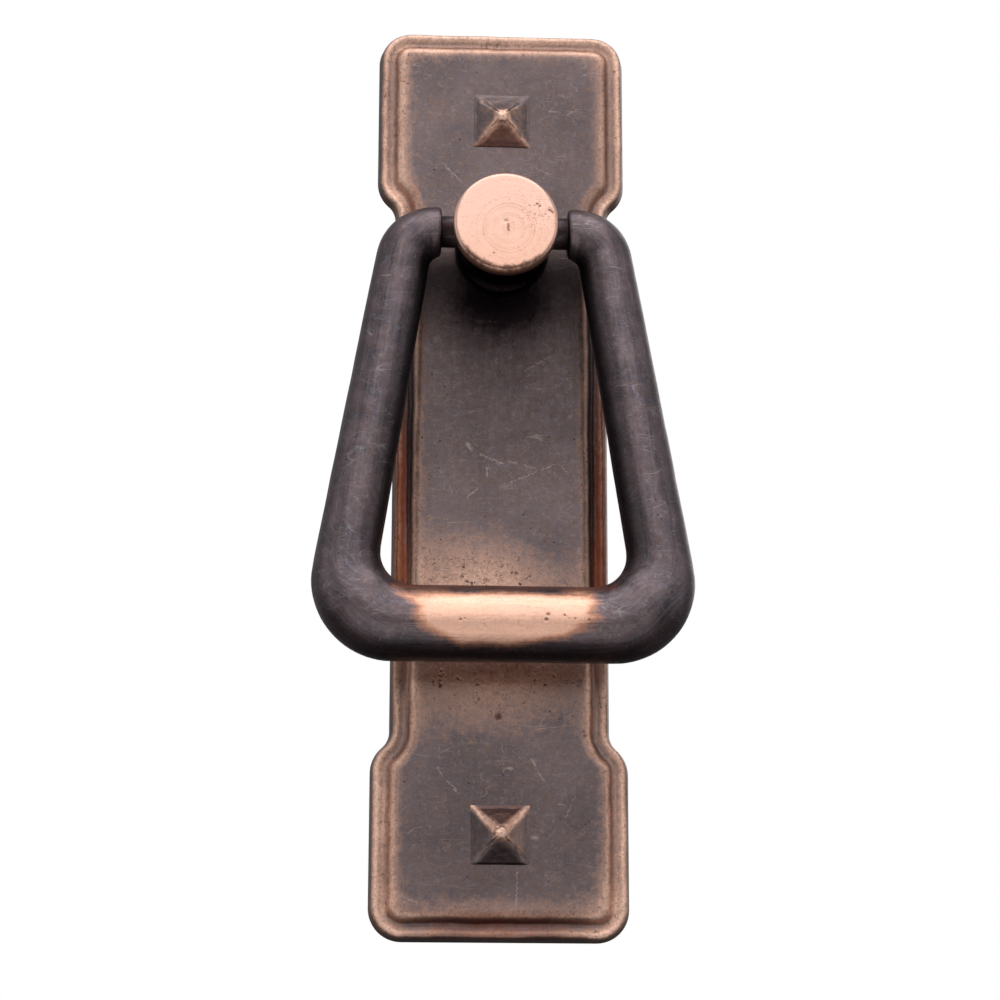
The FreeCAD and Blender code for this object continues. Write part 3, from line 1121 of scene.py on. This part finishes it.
@dataclass
class Bail:
    """Cast bail: trunnions, end faces, elbows, tapering legs, full corners and a round bar."""

    pivot_out: float = 8.6
    trunnion_r: float = 1.7
    trunnion_start: float = 1.4
    end_x: float = 6.825
    end_r: float = 2.7
    elbow_x: float = 10.4
    corner_x: float = 17.6
    bar_drop: float = 43.15
    elbow_bend_r: float = 3.3
    corner_bend_r: float = 5.5
    elbow_r: float = 3.05
    leg_top_r: float = 2.95
    leg_low_r: float = 3.4
    corner_r: float = 4.25
    bar_r: float = 4.05
    segments: int = 72
    sag: float = 0.07
    elbow_inner_r: float = 1.5
    elbow_outer_r: float = 6.35
    corner_inner_r: float = 3.4
    corner_outer_r: float = 8.6
    brown_line: float = 39.6
    inner_shade: float = 0.74
    under_shade: float = 0.6
    outer_shade: float = 0.3
    patch: tuple[tuple[float, float], ...] = ()
    finish: RelievedCopper = RelievedCopper("rubbed_dark_copper_bail")

    def leg_line(self) -> tuple[np.ndarray, np.ndarray, np.ndarray]:
        """Where the right leg's line meets the pivot's and the bar's, and its direction, as x and z."""
        elbow = np.array([self.elbow_x, 0.0])
        corner = np.array([self.corner_x, -self.bar_drop])
        return elbow, corner, (corner - elbow) / np.linalg.norm(corner - elbow)

    def half_line(self) -> list[tuple[float, float, float, float, float]]:
        """Centre line of the right half, from the trunnion's inner end to the middle of the bar.

        Returns:
            Rows of x, z, direction x, direction z and radius.
        """
        rows = [(self.trunnion_start, 0.0, 1.0, 0.0, r) for r in (0.02, 1.2, self.trunnion_r - 0.12)]
        rows.append((self.trunnion_start + 0.1, 0.0, 1.0, 0.0, self.trunnion_r))
        rows += [(x, 0.0, 1.0, 0.0, self.trunnion_r) for x in (3.0, 5.0, self.end_x - 0.05)]
        rows.append((self.end_x, 0.0, 1.0, 0.0, self.trunnion_r + 0.06))
        edge = ((0.0, 0.46), (0.02, 0.34), (0.08, 0.2), (0.17, 0.1), (0.29, 0.03), (0.42, 0.0))
        rows += [(self.end_x + dx, 0.0, 1.0, 0.0, self.end_r - dr) for dx, dr in edge]
        elbow, corner, leg = self.leg_line()
        elbow_radii = (self.end_r, self.elbow_r, self.leg_top_r)
        rows += self.bend(elbow, OUTWARDS, leg, self.elbow_bend_r, elbow_radii, 18)
        start = np.array(rows[-1][:2])
        corner_radii = (self.leg_low_r, self.corner_r, self.bar_r)
        low = self.bend(corner, leg, -OUTWARDS, self.corner_bend_r, corner_radii, 26)
        finish = np.array(low[0][:2])
        for share in np.linspace(0, 1, 90, endpoint=False)[1:]:
            point = start + (finish - start) * share
            rows.append((*point, *leg, self.leg_top_r + (self.leg_low_r - self.leg_top_r) * share))
        rows += low
        for x in np.linspace(low[-1][0], 0, 46)[1:]:
            rows.append((x, -self.bar_drop, -1.0, 0.0, self.bar_r))
        return rows

    def contours(self, centre: np.ndarray, side: np.ndarray, radius: float) -> tuple[float, float]:
        """Reach of the section towards the loop's inside and outside, where fillets make it fuller.

        Args:
            centre: Centre of the section.
            side: Direction towards the inside of the loop.
            radius: Radius of the section between the bends.

        Returns:
            The inner and the outer reach.
        """
        half = np.array([1.0 if centre[0] >= 0 else -1.0, 1.0])
        spot = centre[[0, 2]] * half
        ray = side[[0, 2]] * half
        elbow, corner, down = self.leg_line()
        inner = outer = radius
        bends = (
            (elbow, OUTWARDS, down, self.end_r, self.leg_top_r, self.elbow_inner_r, self.elbow_outer_r),
            (corner, down, -OUTWARDS, self.leg_low_r, self.bar_r, self.corner_inner_r, self.corner_outer_r),
        )
        for point, before, after, first, second, inner_r, outer_r in bends:
            normals = np.array([[before[1], -before[0]], [after[1], -after[0]]])
            for number, (round_r, extra) in enumerate(((inner_r, 1), (outer_r, -1))):
                gaps = np.array([round_r + extra * first, round_r + extra * second])
                middle = point + np.linalg.solve(normals, gaps)
                from_spot = middle - spot
                past_first = float((spot - middle) @ before) > 0
                past_second = float((middle - spot) @ after) > 0
                along = float(from_spot @ ray)
                across = float(from_spot @ np.array([ray[1], -ray[0]]))
                if not (past_first and past_second) or abs(across) >= round_r:
                    continue
                chord = math.sqrt(round_r ** 2 - across ** 2)
                if number == 0:
                    inner = along - chord
                else:
                    outer = chord - along
        return inner, outer

    def bend(
        self, corner: np.ndarray, before: np.ndarray, after: np.ndarray,
        radius: float, radii: tuple[float, float, float], count: int,
    ) -> list[tuple[float, float, float, float, float]]:
        """Rounded corner of the centre line, whose section grows to the middle and eases to its end.

        Args:
            corner: Where the two straight runs would meet, as x and z.
            before: Direction of the run before it.
            after: Direction of the run after it.
            radius: Radius of the centre line's bend.
            radii: Section radius at the start, middle and end.
            count: Number of steps.

        Returns:
            Rows of x, z, direction x, direction z and radius.
        """
        turn = math.acos(float(before @ after))
        start = corner - before * radius * math.tan(turn / 2)
        to_centre = np.array([before[1], -before[0]])
        centre = start + to_centre * radius
        rows = []
        for step in range(count + 1):
            angle = turn * step / count
            direction = before * math.cos(angle) + to_centre * math.sin(angle)
            point = centre - to_centre * radius * math.cos(angle) + before * radius * math.sin(angle)
            half = step / count * 2
            first, last = (radii[0], radii[1]) if half < 1 else (radii[1], radii[2])
            section = first + (last - first) * float(eased(half - (half >= 1), 0.0, 1.0))
            rows.append((*point, *direction, section))
        return rows

    def polished(self, points: np.ndarray, spread: float = 0.95) -> np.ndarray:
        """Share of polish on the bar's grip patch, from 0 well outside its border to 1 well inside.

        Args:
            points: Points as rows of x, y, z.
            spread: Width of the soft border.

        Returns:
            One share for each point.
        """
        border = np.array(self.patch)
        spot = points[:, [0, 2]]
        inside = np.zeros(len(points), bool)
        nearest = np.full(len(points), 1e9)
        for start, finish in zip(border, np.roll(border, -1, axis=0)):
            run = finish - start
            share = np.clip((spot - start) @ run / (run @ run), 0, 1)
            nearest = np.minimum(nearest, np.linalg.norm(spot - start - share[:, None] * run, axis=1))
            crosses = (start[1] > spot[:, 1]) != (finish[1] > spot[:, 1])
            at = start[0] + (spot[:, 1] - start[1]) * run[0] / (run[1] if run[1] else 1e-9)
            inside ^= crosses & (spot[:, 0] < at)
        signed = np.where(inside, nearest, -nearest) + 0.4 * unevenness(points, 3.2, 4.0)
        front = eased(-points[:, 1] - self.pivot_out, -0.5, 1.2)
        soft = spread * (1 + 1.1 * eased(np.abs(points[:, 0]), 5.0, 9.0))
        return np.asarray(eased((signed - 0.4) / soft, -1.0, 1.0)) * front

    def build(self) -> bpy.types.Object:
        """Builds the bail's mesh as one smooth tube with two closed ends.

        Returns:
            The bail's object.
        """
        half = self.half_line()
        other = [(-x, z, dx, -dz, r) for x, z, dx, dz, r in reversed(half[:-1])]
        draft = Draft()
        turn = full_turn(self.segments)
        back = np.array([0.0, 1.0, 0.0])
        line = half + other
        centres = np.array([(x, -self.pivot_out, z) for x, z, *_ in line])
        lengths = np.cumsum([0.0, *np.linalg.norm(np.diff(centres, axis=0), axis=1)])
        rings = []
        for (x, z, dx, dz, radius), centre, length in zip(line, centres, lengths):
            side = np.array([dz, 0.0, -dx])
            around = np.cos(turn)[:, None] * back + np.sin(turn)[:, None] * side
            inner, outer = self.contours(centre, side, radius) if radius > self.end_r - 0.2 else (radius, radius)
            reach = np.where(np.sin(turn) > 0, inner, outer) * np.sin(turn)
            points = centre + radius * np.cos(turn)[:, None] * back + reach[:, None] * side
            if radius > self.trunnion_r + 0.5 and abs(x) > self.end_x + 0.1 or z < -5:
                swell = unevenness(points, 6.0, 1.0) + 0.5 * unevenness(points, 2.2, 6.0)
                points = points + around * (self.sag * 0.5 * (swell - 1.5))[:, None]
            course = np.column_stack([np.full(self.segments, length), turn * radius, np.zeros(self.segments)])
            polish = self.polished(points)
            joint = z > -3 and abs(x) <= self.end_x + 0.01
            on_leg = float(eased(-z, -2.0, 4.0) * eased(z, -41.0, -34.0))
            # Painted shade: darker on the legs' inner and outer sides and under the bar.
            shade = self.inner_shade * eased(np.sin(turn), 0.1, 0.95) * on_leg
            shade = shade + self.outer_shade * eased(-np.sin(turn), 0.55, 1.0)
            under = self.under_shade * eased(-points[:, 2], self.bar_drop + 2.2, self.bar_drop + 4.0)
            # Painted shadow: a dark line round each trunnion beside its end face.
            smut = 0.12 + 0.7 * float(eased(abs(x), 6.45, 6.65)) if joint else shade + under
            brown = np.clip(1 - np.abs(points[:, 2] + self.brown_line) / 0.8, 0, None)
            brown *= eased(-np.abs(points[:, 0]), -13.0, -11.0)
            rub = 2.1 * polish - 0.3 + 0.75 * brown
            rings.append(draft.add(points, rub=rub, smut=smut, russet=0.7 * brown * (1 - polish), course=course))
        draft.tube(rings)
        draft.cap(rings[0][::-1], centres[0], smut=0.5)
        draft.cap(rings[-1], centres[-1], smut=0.5)
        return draft.make("bail_cast")

    def dress(self, bail: bpy.types.Object) -> None:
        """Gives the bail its finish and its place in the frame."""
        bail.data.materials.append(self.finish.material())
        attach(bail, Body.BAIL.value)
        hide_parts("bail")


@dataclass
class Studio:
    """Pale floor, soft studio light and the camera at the photograph's viewing angle."""

    floor_z: float = -1100.0
    floor_size: float = 8000.0
    camera_at: tuple[float, float, float] = (-14.77, -295.39, -103.73)
    aim_at: tuple[float, float, float] = (0.026, 0.0, -27.57)
    roll_degrees: float = 0.144
    lens: float = 101.28
    sensor: float = 36.0
    middle: tuple[float, float, float] = (0.0, -0.005, -0.03)
    # Each soft box: its place, its width and height, all in metres, and its brightness.
    boxes: tuple[tuple[str, tuple[float, float, float], tuple[float, float], float], ...] = (
        ("front_soft_box", (0.05, -0.75, 0.32), (1.1, 0.55), 0.95),
        ("low_soft_box", (-0.1, -0.75, -0.55), (1.3, 0.8), 0.72),
        ("left_soft_box", (-0.85, -0.3, 0.1), (0.6, 0.9), 0.4),
        ("right_soft_box", (0.85, -0.3, 0.1), (0.6, 0.9), 0.4),
        ("top_soft_box", (0.0, -0.3, 0.7), (1.0, 0.6), 1.5),
        ("back_soft_box", (0.35, 0.7, 0.35), (0.6, 0.6), 1.0),
    )
    finish: PaleBoard = PaleBoard()

    def lay_floor(self) -> bpy.types.Object:
        """Lays the floor. It shows to the camera, but the metal doesn't mirror it."""
        half = self.floor_size / MM_PER_M / 2
        mesh = bpy.data.meshes.new("floor")
        level = self.floor_z / MM_PER_M
        corners = [(-half, -half, level), (half, -half, level), (half, half, level), (-half, half, level)]
        mesh.from_pydata(corners, [], [(0, 1, 2, 3)])
        floor = bpy.data.objects.new("floor", mesh)
        bpy.context.scene.collection.objects.link(floor)
        mesh.materials.append(self.finish.material())
        floor.visible_glossy = False
        floor.visible_diffuse = False
        floor.visible_shadow = False
        return floor

    def hang_light(self, name: str, at: Vector, aim: Vector, size: tuple[float, float], radiance: float) -> None:
        """Hangs one soft box.

        Args:
            name: The light's name.
            at: Its place, in metres.
            aim: The point that it faces.
            size: Its width and height, in metres.
            radiance: Brightness of its face, where 1 shows white.
        """
        light = bpy.data.lights.new(name, "AREA")
        light.shape = "RECTANGLE"
        light.size, light.size_y = size
        light.energy = radiance * math.pi * size[0] * size[1]
        holder = bpy.data.objects.new(name, light)
        holder.location = at
        holder.rotation_mode = "QUATERNION"
        holder.rotation_quaternion = (aim - at).to_track_quat("-Z", "Y")
        holder.visible_camera = False
        bpy.context.scene.collection.objects.link(holder)

    def light_room(self) -> None:
        """Sets the room's dim even light and the soft boxes."""
        world = bpy.data.worlds.new("pale_room")
        world.use_nodes = True
        world.node_tree.nodes.clear()
        add = partial(add_node, world.node_tree)
        seen = add("LightPath", out="Is Camera Ray")
        place = add("TexCoord", out="Generated")
        height = add("SeparateXYZ", (place,), out=2)
        upper = add("MapRange", (height, -0.5, 0.7), interpolation_type="SMOOTHSTEP")
        room = add("Mix", {0: upper, 6: (0.1, 0.09, 0.09, 1), 7: (0.42, 0.42, 0.43, 1)}, out=2, data_type="RGBA")
        shown = add("Mix", {0: seen, 6: room, 7: (1.0, 1.0, 1.0, 1)}, out=2, data_type="RGBA")
        light = add("Background", {"Color": shown, "Strength": 1.0})
        add("OutputWorld", {"Surface": light})
        bpy.context.scene.world = world
        for name, at, size, radiance in self.boxes:
            self.hang_light(name, Vector(at), Vector(self.middle), size, radiance)

    def set_camera(self) -> None:
        """Sets the camera from its fitted place, aim, roll and lens."""
        data = bpy.data.cameras.new("camera")
        data.lens = self.lens
        data.sensor_width = self.sensor
        data.clip_start = 0.01
        camera = bpy.data.objects.new("camera", data)
        bpy.context.scene.collection.objects.link(camera)
        at = Vector(self.camera_at) / MM_PER_M
        ahead = (Vector(self.aim_at) / MM_PER_M - at).normalized()
        level_right = ahead.cross(Vector((0, 0, 1))).normalized()
        level_up = level_right.cross(ahead)
        roll = math.radians(self.roll_degrees)
        right = level_right * math.cos(roll) + level_up * math.sin(roll)
        up = level_up * math.cos(roll) - level_right * math.sin(roll)
        camera.matrix_world = Matrix.Translation(at) @ Matrix((right, up, -ahead)).transposed().to_4x4()
        bpy.context.scene.camera = camera

    def set_display(self) -> None:
        """Shows colours as they are, with no film curve, so that white stays white."""
        bpy.context.scene.view_settings.view_transform = "Standard"


PANEL_Y = -2.55
# Marks on the flat panel: scratches as x, z, x, z and width, and pits as x, z and radius.
PANEL_CUTS = (
    (-6.6, 10.3, -4.3, 8.0, 0.09), (3.7, 10.0, 5.4, 9.2, 0.07), (2.6, -13.6, 5.5, -11.9, 0.13),
    (-1.1, -12.9, 2.3, -9.7, 0.09), (0.2, -12.9, 1.9, -11.3, 0.08), (2.2, -14.9, 3.6, -13.5, 0.1),
    (-2.9, -8.1, -0.8, -8.2, 0.22), (3.6, -7.9, 4.3, -8.8, 0.08), (-6.6, -57.3, -6.1, -58.1, 0.12),
    (-5.6, -58.6, -4.5, -59.7, 0.08), (0.6, -57.3, 1.2, -57.3, 0.2), (0.2, -54.7, 0.4, -57.9, 0.07),
    (6.9, -62.4, 7.4, -61.3, 0.09), (1.8, -68.2, 1.7, -72.1, 0.12), (3.5, -64.5, 3.8, -64.6, 0.3),
    (0.1, -26.6, 5.5, -24.3, 0.1), (5.5, -24.3, 7.1, -23.7, 0.06), (-2.2, -23.1, -1.1, -23.7, 0.12),
    (-1.1, -23.6, 0.1, -24.1, 0.17), (0.7, -23.8, 1.6, -24.1, 0.12), (2.4, -24.2, 3.9, -24.7, 0.11),
    (5.2, -24.8, 6.7, -25.8, 0.07), (6.6, -24.4, 7.4, -25.3, 0.1), (-3.6, -22.0, -3.2, -22.6, 0.3),
    (-1.5, -24.6, -1.5, -25.5, 0.17), (-3.6, -27.9, -2.6, -27.0, 0.13), (-5.5, -26.6, -5.3, -27.7, 0.08),
    (4.9, -34.7, 3.9, -36.8, 0.08), (9.6, -32.6, 8.1, -34.5, 0.07), (-4.9, -59.5, -4.2, -60.1, 0.1),
    (3.2, -56.3, 4.6, -58.6, 0.12),
)
PANEL_PITS = (
    (-4.1, -36.8, 0.16), (-3.6, -37.3, 0.17), (-3.1, -37.5, 0.14), (-4.0, -35.7, 0.12), (1.2, -36.3, 0.16),
    (1.6, -36.3, 0.17), (2.1, -37.5, 0.15), (-0.2, -51.8, 0.38), (-6.3, -47.0, 0.2), (-6.3, -47.5, 0.2),
    (-6.4, -48.0, 0.22), (-6.4, -48.5, 0.24), (-7.1, -48.1, 0.2), (-4.5, -47.8, 0.18), (3.7, -47.9, 0.18),
    (4.7, -48.3, 0.16), (-2.4, -48.4, 0.16), (5.7, -47.4, 0.18),
)
PLATE_MARKS = Marks(
    scratches=(
        *(Scratch((x, PANEL_Y, z), (far_x, PANEL_Y, far_z), width) for x, z, far_x, far_z, width in PANEL_CUTS),
        Scratch((-10.6, -2.5, -70.6), (-8.6, -2.55, -71.4), 0.14),
    ),
    pits=tuple(Pit((x, PANEL_Y, z), radius) for x, z, radius in PANEL_PITS),
    waver_mm=0.35,
    waver=0.26,
)
BAIL_MARKS = Marks(
    scratches=(
        Scratch((-14.7, -10.8, -12.0), (-14.2, -11.2, -12.6), 0.14),
        Scratch((-11.0, -11.2, -1.6), (-9.6, -11.4, -1.3), 0.1),
    ),
    pits=(
        Pit((-4.6, -12.5, -43.5), 0.16), Pit((-4.2, -12.5, -43.4), 0.12), Pit((4.2, -12.5, -43.4), 0.22),
        Pit((4.4, -12.5, -42.9), 0.2), Pit((6.1, -12.5, -43.0), 0.15), Pit((6.6, -12.5, -43.3), 0.13),
        Pit((7.2, -12.5, -43.3), 0.17), Pit((8.6, -12.5, -43.4), 0.18), Pit((8.8, -12.4, -40.9), 0.14),
    ),
)
HEAD_MARKS = Marks(
    scratches=(
        Scratch((4.6, -12.3, 1.35), (5.0, -12.3, 1.05), 0.22), Scratch((0.2, -12.3, -0.35), (0.3, -12.3, -1.1), 0.14),
    ),
    pits=(Pit((3.3, -12.3, 2.0), 0.15), Pit((3.6, -12.3, 1.8), 0.12), Pit((-1.3, -12.3, -3.6), 0.1)),
    waver=0.08,
)
# Broad wear, soot and red oxide on the plate, some of it painted shade: x, z, reach in x, reach in z, strength.
PLATE_WEAR_AND_LEG_SHADE = areas(
    (-2.0, -39.5, 10.0, 4.8, 2.0), (-3.0, -34.0, 7.5, 3.6, 0.55), (-1.0, -48.0, 10.0, 3.6, 1.4),
    (-2.0, -52.5, 8.0, 2.6, 0.45), (-12.0, 24.5, 3.0, 3.0, 0.55), (12.0, 24.5, 3.0, 3.0, 0.6),
    (0.0, 26.0, 11.5, 1.0, 1.4), (0.0, 24.2, 11.0, 0.9, 0.45), (-11.6, 6.5, 2.4, 3.2, 0.9),
    (11.6, 6.0, 2.2, 2.8, 0.7), (12.0, -72.5, 3.4, 3.4, 1.1), (-12.4, -73.0, 2.6, 3.4, 0.9),
    (12.9, -63.0, 1.6, 9.5, 0.8), (-13.1, -61.0, 1.5, 9.5, 0.8), (0.0, -71.4, 9.0, 1.0, 0.35),
    (-13.2, 14.0, 0.7, 9.0, -0.2), (13.2, 14.0, 0.9, 9.0, 0.5), (-11.3, 14.0, 1.1, 9.0, 0.65),
    (11.3, 14.0, 1.1, 9.0, 0.35), (0.0, -73.5, 9.5, 0.8, -0.8), (0.0, -74.8, 10.0, 0.5, -0.3),
    # The rows at x -10 and 10 with negative strength are painted shadow beside the bail's legs.
    (-10.0, -20.0, 0.6, 14.0, -1.2), (10.0, -22.0, 0.6, 17.0, -1.4), (5.5, -31.0, 4.0, 3.5, -0.3),
    (-8.9, -24.0, 0.35, 14.0, 0.25), (8.9, -26.0, 0.35, 14.0, 0.15), (-7.0, 17.0, 4.0, 7.0, 0.15),
    (0.0, -46.4, 9.0, 1.7, 1.3), (-12.3, -64.0, 1.2, 8.0, 0.5), (0.0, -72.2, 11.0, 1.1, 0.3),
)
PLATE_SOOT_AND_SHADE = areas(
    # The first three rows paint shade under the post's head; the rows at x -10 and 10 paint shadow beside the bail's
    # legs.
    (0.0, -5.0, 10.5, 5.0, 0.85), (0.0, -11.0, 10.0, 7.5, 0.44), (1.0, -20.0, 11.0, 9.0, 0.32),
    (0.0, 18.6, 4.5, 3.0, 0.14), (0.0, -68.6, 3.4, 1.6, 0.16), (11.0, -31.0, 1.4, 8.0, 0.1),
    (-10.0, -22.0, 0.6, 13.0, 0.58), (10.0, -26.0, 0.65, 16.0, 0.62), (0.0, -73.3, 9.5, 0.8, 0.3),
    (9.0, 12.0, 6.0, 11.0, 0.22), (1.0, -64.0, 10.0, 8.0, 0.19),
)
PLATE_RUST = areas(
    (-10.7, -26.0, 1.0, 13.0, 0.9), (10.7, -26.0, 1.0, 14.0, 0.85), (0.0, -47.0, 12.0, 1.9, 0.8),
    (-10.5, -37.0, 1.2, 5.0, 0.6), (10.5, -37.0, 1.0, 5.0, 0.7), (0.0, -73.2, 11.0, 1.0, 0.65),
    (0.0, -74.7, 12.0, 0.7, 0.45), (-9.8, 6.0, 1.0, 2.4, 0.45), (0.0, -41.0, 10.0, 1.6, 0.3),
)
PYRAMIDS = (
    PyramidWear(39.85, (0.15, 1.3), (0.55, 0.35, 0.15, 0.3), (0.22, 0.0, 0.06, 0.06), (0.55, 0.0, 0.0, 0.0)),
    PyramidWear(-39.85, (2.4, 0.1), (0.0, 0.45, 0.15, 0.1), (0.68, 0.0, 0.16, 0.32), (0.2, 0.0, 0.4, 0.1)),
)
# Border of the bar's worn bright patch, as x and z.
GRIP_PATCH = (
    (-11.2, -40.6), (-10.2, -41.6), (-9.6, -42.3), (-9.9, -43.3), (-8.9, -44.5), (-6.6, -45.6),
    (-4.6, -46.6), (1.0, -46.5), (6.4, -45.7), (8.1, -44.5), (10.2, -43.1), (9.2, -42.3),
    (10.0, -41.4), (9.2, -40.3), (2.0, -40.0), (-6.0, -40.1),
)


def main() -> None:
    """Builds the pull piece by piece, then the studio."""
    logging.basicConfig(level=logging.INFO, format="%(name)s: %(message)s")
    plate_finish = RelievedCopper("relieved_cast_copper_plate", marks=PLATE_MARKS)
    bail_finish = RelievedCopper(
        "rubbed_dark_copper_bail", skin="#716367", skin_cool="#575157", skin_warm="#6b5752", hair="#aaa4a8",
        copper="#d69a7c", copper_bright="#ffccb2", skin_roughness=0.38, copper_roughness=0.42, cloud_mm=2.6,
        streak_share=0.16, feather=1.3, raggedness=0.95, fibre_share=0.2, sand_share=0.12, dent_share=0.25,
        marks=BAIL_MARKS,
    )
    pieces: list[Backplate | Post | Bail] = [
        Backplate(finish=plate_finish, wear=PLATE_WEAR_AND_LEG_SHADE, soot_and_shade=PLATE_SOOT_AND_SHADE, rust=PLATE_RUST, pyramids=PYRAMIDS),
        Post(finish=TurnedCopper("turned_copper_post", marks=HEAD_MARKS)),
        Bail(finish=bail_finish, patch=GRIP_PATCH),
    ]
    for maker in pieces:
        piece = maker.build()
        maker.dress(piece)
        log.info("%s: %d faces", piece.name, len(piece.data.polygons))
    studio = Studio()
    studio.lay_floor()
    studio.light_room()
    studio.set_camera()
    studio.set_display()


if __name__ == "__main__":
    main()
